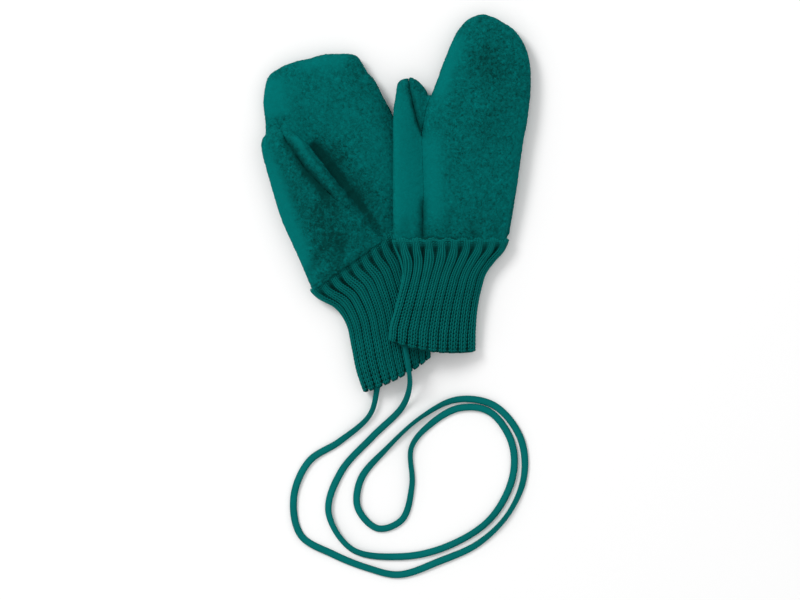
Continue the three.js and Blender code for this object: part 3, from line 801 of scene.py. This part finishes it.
def left_panels(middles):
    seam = heights_over(seam_sheet(LEFT_HAND, SEAM_REACH), middles, 0.0)
    loft = loft_of(LEFT_HAND, "palm alone")
    mesh = bmesh.new()
    mesh.from_mesh(loft.data)
    palm_top = heights_over(BVHTree.FromBMesh(mesh), middles, 0.0)
    mesh.free()
    bpy.data.objects.remove(loft)
    cross_seam = LEFT_THUMB_ROOT + LEFT_PALM_SEAM[LEFT_CROTCH:]
    palm_zone = inside_outline(middles, LEFT_BEYOND_PALM + cross_seam + LEFT_BEYOND_CUFF)
    thumb_zone = inside_outline(middles, LEFT_BEYOND_THUMB + LEFT_PALM_SEAM + LEFT_BEYOND_CUFF)
    on_thumb = thumb_zone & (middles[:, 2] > palm_top + THUMB_RISE)
    palm = np.where(palm_zone | on_thumb, LOWER_PALM, UPPER_PALM)
    return np.where(middles[:, 2] < seam, BACK, palm)


def right_panels(middles):
    seam = heights_over(seam_sheet(RIGHT_HAND, 0), middles, 1.0)
    lower_zone = inside_outline(middles, RIGHT_PALM_SEAM + RIGHT_BEYOND_THUMB)
    palm = np.where(lower_zone, LOWER_PALM, UPPER_PALM)
    return np.where(middles[:, 2] > seam, BACK, palm)


def without_islands(labels, triangles):
    """Gives small stray patches of a panel to the panel round them."""
    pairs = {}
    near = [[] for _ in triangles]
    for i, (a, b, c) in enumerate(triangles.tolist()):
        for edge in ((a, b), (b, c), (c, a)):
            edge = (min(edge), max(edge))
            if edge in pairs:
                near[i].append(pairs[edge])
                near[pairs[edge]].append(i)
            pairs[edge] = i
    labels = labels.copy()
    seen = np.zeros(len(triangles), dtype=bool)
    patches = []
    for first in range(len(triangles)):
        if seen[first]:
            continue
        patch = [first]
        seen[first] = True
        for i in patch:
            for j in near[i]:
                if not seen[j] and labels[j] == labels[i]:
                    seen[j] = True
                    patch.append(j)
        patches.append(patch)
    largest = {}
    for patch in patches:
        label = labels[patch[0]]
        if len(patch) > len(largest.get(label, [])):
            largest[label] = patch
    for patch in patches:
        if patch is largest[labels[patch[0]]]:
            continue
        others = [labels[j] for i in patch for j in near[i] if labels[j] != labels[i]]
        labels[patch] = max(set(others), key=others.count)
    return labels


def seam_edges(labels, triangles):
    """The edges where two panels meet."""
    corners = np.sort(sides_of(triangles), axis=1)
    panel = np.concatenate([labels, labels, labels])
    order = np.lexsort((corners[:, 1], corners[:, 0]))
    corners, panel = corners[order], panel[order]
    same = (corners[1:] == corners[:-1]).all(axis=1)
    return corners[1:][same & (panel[1:] != panel[:-1])]


# %% [markdown]
# A sewn seam in fleece is a soft gutter: the nap of both panels rolls down to the stitches.
# Larger troughs and ridges come from how the cloth is folded, and each one here was placed
# one by one: beside the folded thumb, at the root of the other thumb, and above the cuffs, with
# a few like them on the undersides. The finish paints the fleece darker the deeper a gutter
# or trough sinks, as painted shade. In some places the nap lies brushed flat, calmer and with
# painted light, and in others it is ruffled, with painted shade. Those are listed in the same
# way.

# %% Seam gutters and creases
GUTTER_DEPTH = 0.9 * MM
GUTTER_WIDTH = 1.5 * MM
WRIST_GUTTER = 0.20
# How deep a gutter or trough sinks for its full painted shade.
SINK_FOR_FULL_SHADE = 3.4 * MM
EDGE_EASE = 8
FADED_DEPTH = 0.12
LEFT_SEAM_SHARE = 0.55
FADE_RUN = 4 * MM
LEFT_SEAM_SPAN = (-64 * MM, -34 * MM)
RIGHT_SEAM_TOP = 1 * MM
THUMB_SEAM_HALF = 1.3 * MM
THUMB_SEAM_END = 36 * MM
# Columns: side (1 the top, -1 the underside), start x and y, end x and y, width and depth.
# For a brushed place the last one says how flat the nap lies and how much painted light it gets, below 0
# how ruffled it is and how much painted shade it gets.
LEFT_CREASES = np.array([
    [1, -47, 33.5, -37, 22.5, 3.6, 3],
    [1, -38.5, 24, -25.5, 7.5, 3, 3.4],
    [1, -26.5, 9, -15.5, -5.5, 2.6, 2.8],
    [1, -16.5, -3, -6.5, -18.5, 2.4, 1.7],
    [1, -61.5, 37, -49, 17.5, 2.9, 2.1],
    [1, -51, 20, -36, 2.5, 3.6, 2.6],
    [1, -40, 6, -30, -6, 4, 0.9],
    [1, -66, 30, -56, 4, 3.5, 0.5],
    [1, -56, 14, -46, -12, 6, 0.5],
    [1, -50, -42, -38, -22, 3, 0.8],
    [1, -34, -36, -26, -16, 3.5, 0.9],
    [1, -17, -24, -14, -8, 3, 0.7],
    [1, -46, 66, -24, 58, 8, -0.5],
    [-1, -58, 20, -20, 34, 5, 0.9],
    [-1, -44, -30, -28, 0, 4, 0.9],
    [-1, -22, -22, -12, 6, 4, 0.8],
])
RIGHT_CREASES = np.array([
    [1, 15, 2, 14.8, -20, 2.2, 0.9],
    [1, 7.4, 65.5, 9, 58.5, 1.5, 0.9],
    [1, 9, 59.5, 14.3, 38.5, 1.7, 1.2],
    [1, 28, -20, 31, -4, 3, 0.7],
    [1, 44, -20, 42, -7, 3, 0.8],
    [1, 56, -20, 54, -8, 2.6, 0.6],
    [1, 5, -20, 6.5, -6, 2.6, 0.5],
    [1, 52, 30, 58, 66, 8, 0.5],
    [1, 30, 20, 34, 60, 9, -0.4],
    [-1, 46, 20, 66, 32, 5, 0.9],
    [-1, 40, -12, 50, 12, 4, 0.8],
    [-1, 50, 60, 62, 84, 5, 0.8],
])
# Brushed places: above 0 a flatter nap with painted light, below 0 a ruffled nap with painted shade.
LEFT_BRUSHED_AND_LIT = np.array([
    [1, -69, 71, -69, 46, 12, 1.2],
    [1, -56, 77, -26, 81, 7, 1],
    [1, -75, 34, -47, -46, 6, 1.5],
    [1, -58, 39, -42, 22, 4, 0.8],
    [1, -42, 4, -31, -31, 11, -0.7],
    [1, -66, 30, -60, 12, 6, -0.15],
    [1, -50, 62, -22, 42, 15, 0.35],
    [1, -12, 42, -2, 2, 8, 0.35],
    [1, -41, 37, -10, -4, 6, -0.6],
    [1, -43, -44.5, -6, -21.5, 3.5, -0.6],
])
RIGHT_BRUSHED_AND_LIT = np.array([
    [1, 2, 66, 5, -19, 9, 1.4],
    [1, 20, 52, 35, 96, 6, 1.2],
    [1, 19, 44, 21, -14, 7, 1],
    [1, 72, 57, 62, -17, 4, 0.6],
    [1, 44, 88, 58, 66, 9, -0.5],
    [1, 44, 42, 48, 0, 14, 0.15],
])


def sink_by_creases(points, normals, creases):
    """How far each point goes in, for the listed troughs and ridges."""
    sink = np.zeros(len(points))
    for side, x1, y1, x2, y2, width, depth in creases:
        start, end = np.array([x1, y1]) * MM, np.array([x2, y2]) * MM
        run = end - start
        t = (points[:, :2] - start) @ run / (run @ run)
        nearest = start + np.clip(t, 0, 1)[:, None] * run
        off = np.linalg.norm(points[:, :2] - nearest, axis=1) / (width * MM)
        ends = np.clip(1.15 - np.abs(2 * np.clip(t, 0, 1) - 1) ** 3, 0, 1)
        facing = np.clip(normals[:, 2] * side, 0, 1)
        sink += depth * MM * np.exp(-off ** 2) * ends * facing
    return sink


def distance_to(points, marked):
    """How far each point is from the nearest of the marked points."""
    tree = KDTree(len(marked))
    for i, place in enumerate(points[marked]):
        tree.insert(place, i)
    tree.balance()
    return np.array([tree.find(place)[2] for place in points])


def left_seam_shows(places):
    """How strongly each seam of the left mitten shows: only along the thumb's fold."""
    past = np.maximum(places[:, 0] - LEFT_SEAM_SPAN[1], LEFT_SEAM_SPAN[0] - places[:, 0])
    return LEFT_SEAM_SHARE - (LEFT_SEAM_SHARE - FADED_DEPTH) * np.clip(past / FADE_RUN, 0, 1)


def right_seam_shows(places):
    """How strongly each seam of the right mitten shows: on the thumb and near the cuff."""
    above = (places[:, 1] - RIGHT_SEAM_TOP) / FADE_RUN
    seam_x, seam_y = np.array(RIGHT_PALM_SEAM[::-1]).T * MM
    off_seam = np.abs(places[:, 0] - np.interp(places[:, 1], seam_y, seam_x))
    off_thumb = np.maximum(off_seam / THUMB_SEAM_HALF - 1, (THUMB_SEAM_END - places[:, 1]) / FADE_RUN)
    return 1 - (1 - FADED_DEPTH) * np.clip(np.minimum(above, off_thumb), 0, 1)


def shaped(points, triangles, labels, creases, shows):
    """The skin with its seams and creases pressed in, and how much painted shade each point gets for how
    far it is pressed in.
    """
    seams = seam_edges(labels, triangles)
    marked = np.unique(seams)
    points = points.copy()
    for _ in range(EDGE_EASE):
        points[marked] = 0.5 * points[marked] + 0.5 * neighbour_mean(points, seams)[marked]
    normals = normals_of(points, triangles)
    edges, uses = edges_of(triangles)
    wrist = np.unique(edges[uses == 1])
    seam_distance = distance_to(points, marked)
    wrist_distance = distance_to(points, wrist)
    strength = np.where(normals[:, 2] > 0, shows(points), 1)
    gutter = GUTTER_DEPTH * strength * np.exp(-(seam_distance / GUTTER_WIDTH) ** 2)
    hem = WRIST_GUTTER * GUTTER_DEPTH * np.exp(-(wrist_distance / GUTTER_WIDTH) ** 2)
    sink = np.maximum(gutter, hem) + sink_by_creases(points, normals, creases)
    # The deeper a point is pressed in, the more painted shade it gets.
    return points - normals * sink[:, None], np.clip(sink / SINK_FOR_FULL_SHADE, 0, 1)


def hand_form(skin, panels, creases, shows, brushed_and_painted_light):
    """A hand's shaped skin, the panel of each triangle and the marks of painted light and shade, and of a
    flatter nap, for its finish.
    """
    points, triangles = skin
    labels = panels(points[triangles].mean(axis=1))
    labels = without_islands(labels, triangles)
    points, trough_shade = shaped(points, triangles, labels, creases, shows)
    # The brushed places mark a flatter nap, painted light and painted shade.
    combed_and_lit = sink_by_creases(points, normals_of(points, triangles), brushed_and_painted_light) / MM
    print("triangles in back, upper palm, lower palm:", np.bincount(labels).tolist())
    marks = {"trough_shade": trough_shade, "brushed_and_painted_light": np.clip(combed_and_lit, -1, 1)}
    return points, triangles, labels, marks, shows


left_form = hand_form(left_skin, left_panels, LEFT_CREASES, left_seam_shows, LEFT_BRUSHED_AND_LIT)
right_form = hand_form(right_skin, right_panels, RIGHT_CREASES, right_seam_shows, RIGHT_BRUSHED_AND_LIT)

# %% [markdown]
# The nap of the fleece is made with Geometry Nodes. Two sizes of noise lift and sink the
# outer skin along its normals: lumps of fibre about two millimetres across, and curls
# half that size. The tree keeps the relief as an attribute called nap for the finish, which
# paints the raised tips lighter and the pits darker, as painted light and painted shade.

# %% Nap
NAP_GRAIN = 2.1 * MM
NAP_DEPTH = 0.42 * MM
NAP_SEED = 7.0
LUMP_SHARE = 2.2
CURL_SHARE = 1.3
CURL_FINENESS = 2.1
NAP_MIDDLE = 0.62
NAP_FLATTENED = 0.8


def tree_with_inputs(name, inputs):
    """A geometry tree with a mesh input, number inputs and a mesh output."""
    tree = bpy.data.node_groups.new(name, "GeometryNodeTree")
    tree.interface.new_socket("Geometry", in_out="INPUT", socket_type="NodeSocketGeometry")
    for title, value in inputs.items():
        socket = tree.interface.new_socket(title, in_out="INPUT", socket_type="NodeSocketFloat")
        socket.default_value = value
    tree.interface.new_socket("Geometry", in_out="OUTPUT", socket_type="NodeSocketGeometry")
    graph = Graph(tree)
    first = graph.add("NodeGroupInput", {}, {})
    values = {socket.name: Socket(graph, socket) for socket in first.socket.node.outputs if socket.name}
    return tree, graph, values


def named(graph, name, kind="FLOAT"):
    """A stored attribute as it reads in a geometry tree."""
    return graph.add("GeometryNodeInputNamedAttribute", {"data_type": kind}, {"Name": name})


def nap_tree(material):
    inputs = {"Grain": NAP_GRAIN, "Depth": NAP_DEPTH, "Seed": NAP_SEED}
    tree, graph, value = tree_with_inputs("fleece nap", inputs)
    where = graph.add("GeometryNodeInputPosition", {}, {})
    four = {"noise_dimensions": "4D"}
    lumps = {"Vector": where, "W": value["Seed"], "Scale": 1 / value["Grain"], "Detail": 2.0,
             "Roughness": 0.6, "Distortion": 0.5}
    curls = {**lumps, "Scale": CURL_FINENESS / value["Grain"], "Detail": 1.0, "Distortion": 1.2}
    coarse = graph.add("ShaderNodeTexNoise", four, lumps)
    fine = graph.add("ShaderNodeTexNoise", four, curls)
    relief = ((coarse - 0.5) * LUMP_SHARE + (fine - 0.5) * CURL_SHARE + 0.5).clamped()
    standing = 1 - named(graph, "brushed_and_painted_light").clamped() * NAP_FLATTENED
    lift = (relief - NAP_MIDDLE) * value["Depth"] * named(graph, "outside") * standing
    offset = graph.add("GeometryNodeInputNormal", {}, {}).scaled(lift)
    moved = graph.add("GeometryNodeSetPosition", {}, {"Geometry": value["Geometry"], "Offset": offset})
    kept = graph.add("GeometryNodeStoreNamedAttribute", {"data_type": "FLOAT", "domain": "POINT"},
                     {"Geometry": moved, "Name": "nap", "Value": relief})
    return closed_tree(graph, kept, material, tree)


def closed_tree(graph, geometry, material, tree):
    """Ends a tree: smooth faces, real geometry and its material."""
    smooth = graph.add("GeometryNodeSetShadeSmooth", {}, {"Geometry": geometry, "Shade Smooth": True})
    real = graph.add("GeometryNodeRealizeInstances", {}, {"Geometry": smooth})
    painted = graph.add("GeometryNodeSetMaterial", {}, {"Geometry": real, "Material": material})
    graph.add("NodeGroupOutput", {}, {"Geometry": painted})
    return tree


def grown_by(target, tree):
    """Runs a geometry tree on an object and keeps the result as its plain mesh."""
    modifier = target.modifiers.new(tree.name, "NODES")
    modifier.node_group = tree
    evaluated = target.evaluated_get(bpy.context.evaluated_depsgraph_get())
    mesh = bpy.data.meshes.new_from_object(evaluated)
    target.modifiers.remove(modifier)
    target.data = mesh


# %% [markdown]
# A panel is a wall of cloth. Its inner side is the smoothed skin moved inwards, and a rim
# joins the two round the edge. The edge draws back a little where a seam shows, so that
# neighbours stay apart, but not at the wrist, where the cuff is sewn on.

# %% Cloth panels
CLOTH = 1.7 * MM
SEAM_HALF = 0.11 * MM
FLOW_EASE = 6


def panel_wall(name, form, label, floor):
    """One cloth panel: its outer side, inner side and rim, and where the outer side ends."""
    points, triangles, labels, marks, shows = form
    mine = triangles[labels == label]
    used, numbers = np.unique(mine, return_inverse=True)
    mine = numbers.reshape(-1, 3)
    outer = points[used]
    edges, uses = edges_of(mine)
    rim = edges[uses == 1]
    on_rim = np.unique(rim)
    inward = unit(neighbour_mean(outer, edges[uses == 2])[on_rim] - outer[on_rim])
    all_edges, all_uses = edges_of(triangles)
    at_wrist = np.isin(used[on_rim], all_edges[all_uses == 1])
    back_off = np.where(at_wrist, 0, SEAM_HALF * shows(outer[on_rim]))
    outer[on_rim] += inward * back_off[:, None]
    flow = normals_of(points, triangles)[used]
    for _ in range(FLOW_EASE):
        flow = neighbour_mean(flow, edges)
    inner = outer - unit(flow) * CLOTH
    outer[:, 2] = np.maximum(outer[:, 2], floor(outer))
    inner[:, 2] = np.maximum(inner[:, 2], floor(inner) + CLOTH)
    count = len(outer)
    keys = {tuple(edge) for edge in np.sort(rim, axis=1).tolist()}
    border = [(a, b) for a, b in sides_of(mine).tolist() if (min(a, b), max(a, b)) in keys]
    walls = [(b, a, a + count) for a, b in border] + [(b, a + count, b + count) for a, b in border]
    faces = np.concatenate([mine, mine[:, ::-1] + count, np.array(walls)])
    panel = object_from(name, np.concatenate([outer, inner]), faces)
    store(panel, "outside", np.concatenate([np.ones(count), np.zeros(count)]))
    for mark, values in marks.items():
        store(panel, mark, np.concatenate([values[used], np.zeros(count)]))
    return panel, outer, mine


def cloth_panel(node, form, label, floor, tree):
    """One finished panel of fleece, with its area, size and face count printed."""
    name = f"{node}_fleece"
    panel, outer, mine = panel_wall(name, form, label, floor)
    grown_by(panel, tree)
    keep_above(panel, floor)
    a, b, c = (outer[mine[:, i]] for i in range(3))
    area = float(np.linalg.norm(np.cross(b - a, c - a), axis=1).sum() / 2)
    size = (outer.max(axis=0) - outer.min(axis=0)) / MM
    print(f"{name}: area {area * 1e4:.1f} cm2, {np.round(size, 1).tolist()} mm, {len(panel.data.polygons)}")
    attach(panel, "root")
    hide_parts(node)
    return panel


def on_table(places):
    """How high the table lies under each place."""
    return np.zeros(len(places))


FLEECE_NAP = nap_tree(FLEECE)
left_hand = [cloth_panel(node, left_form, label, on_table, FLEECE_NAP)
             for label, node in enumerate(["left_back", "left_upper_palm", "left_lower_palm"])]

# %% [markdown]
# A cuff is knitted in two by two rib. Two columns of knit stitches stand up as a rib, and
# two columns of purl stitches sink between them, so the tube is elastic and its ribs close
# up where nothing stretches it. At the wrist the fleece is wider than the cuff and pulls the
# ribs open, which shows the flat strokes of the purl stitches. There the first rows climb a
# little over the edge of the fleece, and the cloth behind them goes on into the hand.
# Each row of knitting is one yarn that bends into loops. A base line of short edges runs
# round the cuff for every row. Its points carry which way is out, along and around, and a
# Geometry Nodes tree bends the line into loops and gives it the thickness of yarn.

# %% Rib knit
RIBS = 20
WALES_PER_RIB = 4
POINTS_PER_LOOP = 8
KNIT_ROWS = 41
RIB_SINK = 1.75 * MM
RIB_CLOSING = 0.50
RIB_WANDER = 0.13
WANDER_TURNS = 7.5
RIB_SEED = 4
GROOVE_SHARPNESS = 1.3
CLOSING_START = 0.02
HEM_EASE = 0.25
HEM_EASE_START = 0.9
FLARE_SHARE = 0.30
FLARE_GROOVE = 0.12
FLARE_RUN = (0.03, 0.17)
YARN_RADIUS = 0.34 * MM
YARN_SIDES = 4
YARN_INSET = 0.36 * MM
LOOP_DEPTH = 0.26 * MM
LOOP_LEAN = 0.26
LOOP_HEIGHT = 0.86
KNIT_EDGE = 2.4
HEM_WAVE = 0.9 * MM
HEM_START = 0.8
HEM_LOOP = (0.96, 0.98)
HEM_LOOP_CUT = 0.5
FIRST_ROW = 0.35
ROWS_BEYOND = 0.1
# The knit's colour: painted shade in the grooves and between the loops, painted light on the ribs and the
# knit columns.
GROOVE_SHADE_FALL = 1.2
RIB_PAINTED_LIGHT = 0.9
KNIT_PAINTED_LIGHT = 0.2
STITCH_LIGHT = 0.42
STITCH_SHADE = 0.52
WRIST_CLIMB = 1.3 * MM
CLIMB_RUN = 0.07
CLIMB_WAVES = 17
CLIMB_SWING = 0.4
WRIST_LIFT = 0.45 * MM
LIFT_RUN = (0.02, 0.12)
RING_SAMPLES = 900


def stitch_tree():
    inputs = {"Loop depth": LOOP_DEPTH, "Yarn radius": YARN_RADIUS}
    tree, graph, value = tree_with_inputs("knitted rows", inputs)
    phase = named(graph, "phase")
    bend = phase.cosine()
    lean = (phase * 2).sine()
    dip = (phase * 2).cosine()
    rise = named(graph, "along", "FLOAT_VECTOR").scaled(bend)
    sway = named(graph, "around", "FLOAT_VECTOR").scaled(lean)
    depth = named(graph, "out", "FLOAT_VECTOR").scaled(dip * value["Loop depth"] * named(graph, "face"))
    offset = rise.plus(sway).plus(depth)
    bent = graph.add("GeometryNodeSetPosition", {}, {"Geometry": value["Geometry"], "Offset": offset})
    line = graph.add("GeometryNodeMeshToCurve", {}, {"Mesh": bent})
    profile = {"Resolution": YARN_SIDES, "Radius": value["Yarn radius"]}
    round_yarn = graph.add("GeometryNodeCurvePrimitiveCircle", {"mode": "RADIUS"}, profile)
    yarn = graph.add("GeometryNodeCurveToMesh", {}, {"Curve": line, "Profile Curve": round_yarn})
    return closed_tree(graph, yarn, KNIT, tree)


def eased(value, low, high):
    """A smooth step from 0 at low to 1 at high."""
    t = np.clip((value - low) / (high - low), 0, 1)
    return t * t * (3 - 2 * t)


def cuff_grid(table, floor, down, around):
    """Points of a cuff's surface at shares of its length and of its way round, with frames."""
    rows = rows_at(table, down * (len(table) - 1))
    rings = section_rings(rows, RING_SAMPLES)
    points = np.zeros((len(down), around.shape[1], 3))
    for i, ring in enumerate(rings):
        ring[:, 2] = np.maximum(ring[:, 2], floor(ring))
        closed = np.concatenate([ring, ring[:1]])
        lengths = np.concatenate([[0], np.cumsum(np.linalg.norm(np.diff(closed, axis=0), axis=1))])
        target = np.mod(around[i], 1) * lengths[-1]
        points[i] = np.stack([np.interp(target, lengths, closed[:, axis]) for axis in range(3)], axis=1)
    sideways = np.roll(points, -2, axis=1) - np.roll(points, 2, axis=1)
    lengthways = np.gradient(points, axis=0)
    out = unit(np.cross(sideways, lengthways))
    away = ((points - points.mean(axis=1)[:, None]) * out).sum(axis=2)
    out = out * np.sign(away.sum(axis=1))[:, None, None]
    return points, out, unit(sideways), unit(lengthways)


def ribbed(down, count):
    """Where round the cuff each point goes, how deep it sinks, and its place in its rib."""
    closing = eased(down, CLOSING_START, FLARE_SHARE) * (1 - HEM_EASE * eased(down, HEM_EASE_START, 1.0))
    share = np.arange(count) / count
    place = np.mod(share * RIBS, 1)[None]
    pull = RIB_CLOSING * closing[:, None] / (2 * np.pi)
    drawn = place - pull * np.sin(2 * np.pi * place)
    drawn = drawn - pull * np.sin(2 * np.pi * drawn)
    rib = np.floor(share * RIBS + 0.5).astype(int) % RIBS
    draw = np.random.default_rng(RIB_SEED)
    swing = draw.uniform(0.3, 1, RIBS)
    start = draw.uniform(0, 6.3, RIBS)
    firmness = draw.uniform(0.7, 1.15, RIBS)
    near_groove = (1 + np.cos(2 * np.pi * place)) / 2
    wander = RIB_WANDER * swing[rib] * np.sin(WANDER_TURNS * down[:, None] + start[rib]) * near_groove
    around = share[None] + (drawn - place + wander * closing[:, None]) / RIBS
    opening = FLARE_GROOVE + (1 - FLARE_GROOVE) * eased(down, *FLARE_RUN)
    sink = RIB_SINK * opening[:, None] * firmness[rib] * near_groove ** GROOVE_SHARPNESS
    return around, sink, place


def hem_waves(down, place):
    """Where stitches are knit (1) or purl (-1), and how much further the hem reaches there."""
    knit = np.clip(-KNIT_EDGE * np.cos(2 * np.pi * place), -1, 1)
    return knit, HEM_WAVE * eased(down, HEM_START, 1.0)[:, None] * knit


def knitted_rows(name, table, floor, rows, tree):
    """Some rows of a cuff's stitches as one mesh."""
    count = RIBS * WALES_PER_RIB * POINTS_PER_LOOP
    down = (np.arange(KNIT_ROWS) + FIRST_ROW) / (KNIT_ROWS + ROWS_BEYOND)
    around, sink, place = ribbed(down, count)
    points, out, sideways, lengthways = cuff_grid(table, floor, down, around)
    knit, wave = hem_waves(down, place)
    points = points - out * (sink + YARN_INSET)[..., None]
    turn = 2 * np.pi * np.arange(count)
    climb = WRIST_CLIMB * (1 - eased(down, 0.0, CLIMB_RUN))[:, None]
    climb = climb * (1 - CLIMB_SWING + CLIMB_SWING * np.sin(CLIMB_WAVES * turn / count))
    flatness = np.abs(out[:, :, 2])
    lift = WRIST_LIFT * (1 - eased(down, *LIFT_RUN))[:, None] * flatness
    points = points + lengthways * (wave - climb * flatness)[..., None] + out * lift[..., None]
    spacing = np.linalg.norm(np.gradient(points, axis=0), axis=2)
    wale = np.linalg.norm(np.roll(points, -1, axis=1) - points, axis=2) * POINTS_PER_LOOP
    phase = np.tile(turn / POINTS_PER_LOOP, (len(down), 1))
    # Painted shade in the grooves and between the loops, painted light on the raised ribs and the knit
    # columns.
    relief_and_painted_shade = np.clip(1 - GROOVE_SHADE_FALL * sink / RIB_SINK, 0, 1) * RIB_PAINTED_LIGHT + KNIT_PAINTED_LIGHT * (knit > 0)
    relief_and_painted_shade = relief_and_painted_shade + STITCH_LIGHT - STITCH_SHADE * (1 + np.cos(phase))
    rise = spacing * LOOP_HEIGHT * (1 - HEM_LOOP_CUT * eased(down, *HEM_LOOP))[:, None]
    starts = range(0, len(points[rows]) * count, count)
    edges = [(start + i, start + (i + 1) % count) for start in starts for i in range(count)]
    base = object_from(name, points[rows].reshape(-1, 3), [], edges=edges)
    store(base, "phase", phase[rows])
    store(base, "face", -np.tile(knit, (len(down), 1))[rows])
    store(base, "relief_and_painted_shade", relief_and_painted_shade[rows])
    store_vectors(base, "out", out[rows])
    store_vectors(base, "along", (lengthways * rise[..., None])[rows])
    store_vectors(base, "around", (sideways * (wale * LOOP_LEAN)[..., None])[rows])
    grown_by(base, tree)
    keep_above(base, floor)
    print(f"{name}: {len(base.data.polygons) * 2} triangles")
    return base


BODY_ROWS = 46
BODY_SIDES = 240
BODY_INSET = 0.75 * MM
BODY_WALL = 1.1 * MM
INNER_SINK = 0.4
HEM_ROLL = 0.4
TUCK_LENGTH = 2.4 * MM
TUCK_DEPTH = 0.9 * MM


def cuff_body(name, table, floor):
    """The cloth behind the stitches: a ribbed tube with a rolled hem."""
    down = np.linspace(0, 1, BODY_ROWS)
    around, sink, place = ribbed(down, BODY_SIDES)
    points, out, sideways, lengthways = cuff_grid(table, floor, down, around)
    points = points + lengthways * hem_waves(down, place)[1][..., None]
    outer = points - out * (sink + BODY_INSET)[..., None]
    inner = points - out * (sink * INNER_SINK + BODY_INSET + BODY_WALL)[..., None]
    tuck = lengthways[0] * TUCK_LENGTH + out[0] * TUCK_DEPTH
    outer[0] -= tuck
    inner[0] -= tuck
    hem = lengthways[-1] * BODY_WALL * HEM_ROLL
    middle = (outer[-1] + inner[-1]) / 2 + hem
    rings = np.concatenate([outer, middle[None], inner[::-1]])
    rings[:, :, 2] = np.maximum(rings[:, :, 2], floor(rings.reshape(-1, 3)).reshape(rings.shape[:2]))
    inside = rings[BODY_ROWS + 1:]
    base = floor(inside.reshape(-1, 3)).reshape(inside.shape[:2])
    inside[:, :, 2] = np.maximum(inside[:, :, 2], base + BODY_WALL)
    faces = tube_faces(len(rings), BODY_SIDES)
    ring = np.arange(BODY_SIDES)
    last = (len(rings) - 1) * BODY_SIDES
    close = np.stack([last + ring, last + (ring + 1) % BODY_SIDES, (ring + 1) % BODY_SIDES, ring], axis=1)
    body = object_from(name, rings.reshape(-1, 3), np.concatenate([faces, close]), [KNIT])
    mesh = bmesh.new()
    mesh.from_mesh(body.data)
    bmesh.ops.recalc_face_normals(mesh, faces=mesh.faces)
    mesh.to_mesh(body.data)
    mesh.free()
    # The cloth behind the stitches is painted dark, as painted shade, and its inside less so.
    shade = np.full((len(rings), BODY_SIDES), 0.10)
    shade[BODY_ROWS + 1:] = 0.45
    store(body, "relief_and_painted_shade", shade)
    smooth_shading(body)
    return body


def cuff(node, table, floor, tree):
    body = cuff_body(f"{node}_cloth", table, floor)
    half = KNIT_ROWS // 2
    stitches = [knitted_rows(f"{node}_stitches_wrist", table, floor, slice(0, half), tree),
                knitted_rows(f"{node}_stitches_hem", table, floor, slice(half, KNIT_ROWS), tree)]
    for piece in [body, *stitches]:
        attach(piece, "root")
        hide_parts(node)
    return [body, *stitches]


STITCHES = stitch_tree()
left_cuff = cuff("left_cuff", LEFT_CUFF, on_table, STITCHES)

# %% [markdown]
# The right mitten lies partly on the left one. A map of heights is taken over the left
# mitten by looking straight down, widened a little so that edges keep clear too, and every
# point of the right mitten's underside stays above it.

# %% Right mitten on the left one
MAP_STEP = 0.6 * MM
MAP_EDGE = 4 * MM
LYING_GAP = 0.35 * MM


def height_map(objects):
    """The heights of some objects seen from above, as a grid with its corner."""
    mesh = bmesh.new()
    for item in objects:
        mesh.from_mesh(item.data)
    tree = BVHTree.FromBMesh(mesh)
    places = np.array([vertex.co[:2] for vertex in mesh.verts])
    mesh.free()
    low = places.min(axis=0) - MAP_EDGE
    high = places.max(axis=0) + MAP_EDGE
    across = np.arange(low[0], high[0], MAP_STEP)
    up = np.arange(low[1], high[1], MAP_STEP)
    grid = np.array([[x, y, 0.0] for y in up for x in across])
    heights = heights_over(tree, grid, 0.0).reshape(len(up), len(across))
    padded = np.pad(heights, 1)
    rows, columns = heights.shape
    heights = np.max([padded[i:i + rows, j:j + columns] for i in range(3) for j in range(3)], axis=0)
    return low, heights


def floor_of(objects):
    low, heights = height_map(objects)

    def floor(places):
        spot = (places[:, :2] - low) / MAP_STEP
        column = np.clip(spot[:, 0], 0, heights.shape[1] - 1.001)
        row = np.clip(spot[:, 1], 0, heights.shape[0] - 1.001)
        i, j = row.astype(int), column.astype(int)
        s, t = row - i, column - j
        level = ((1 - s) * ((1 - t) * heights[i, j] + t * heights[i, j + 1])
                 + s * ((1 - t) * heights[i + 1, j] + t * heights[i + 1, j + 1]))
        return np.where(level > 0, level + LYING_GAP, 0.0)

    return floor


on_left_mitten = floor_of([*left_hand, *left_cuff])
for label, node in enumerate(["right_back", "right_upper_palm", "right_lower_palm"]):
    cloth_panel(node, right_form, label, on_left_mitten, FLEECE_NAP)
cuff("right_cuff", RIGHT_CUFF, on_left_mitten, STITCHES)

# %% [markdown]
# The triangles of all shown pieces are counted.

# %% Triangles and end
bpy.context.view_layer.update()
triangles = sum(len(p.vertices) - 2 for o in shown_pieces() if o.type == "MESH" for p in o.data.polygons)
print("triangles in all:", triangles)
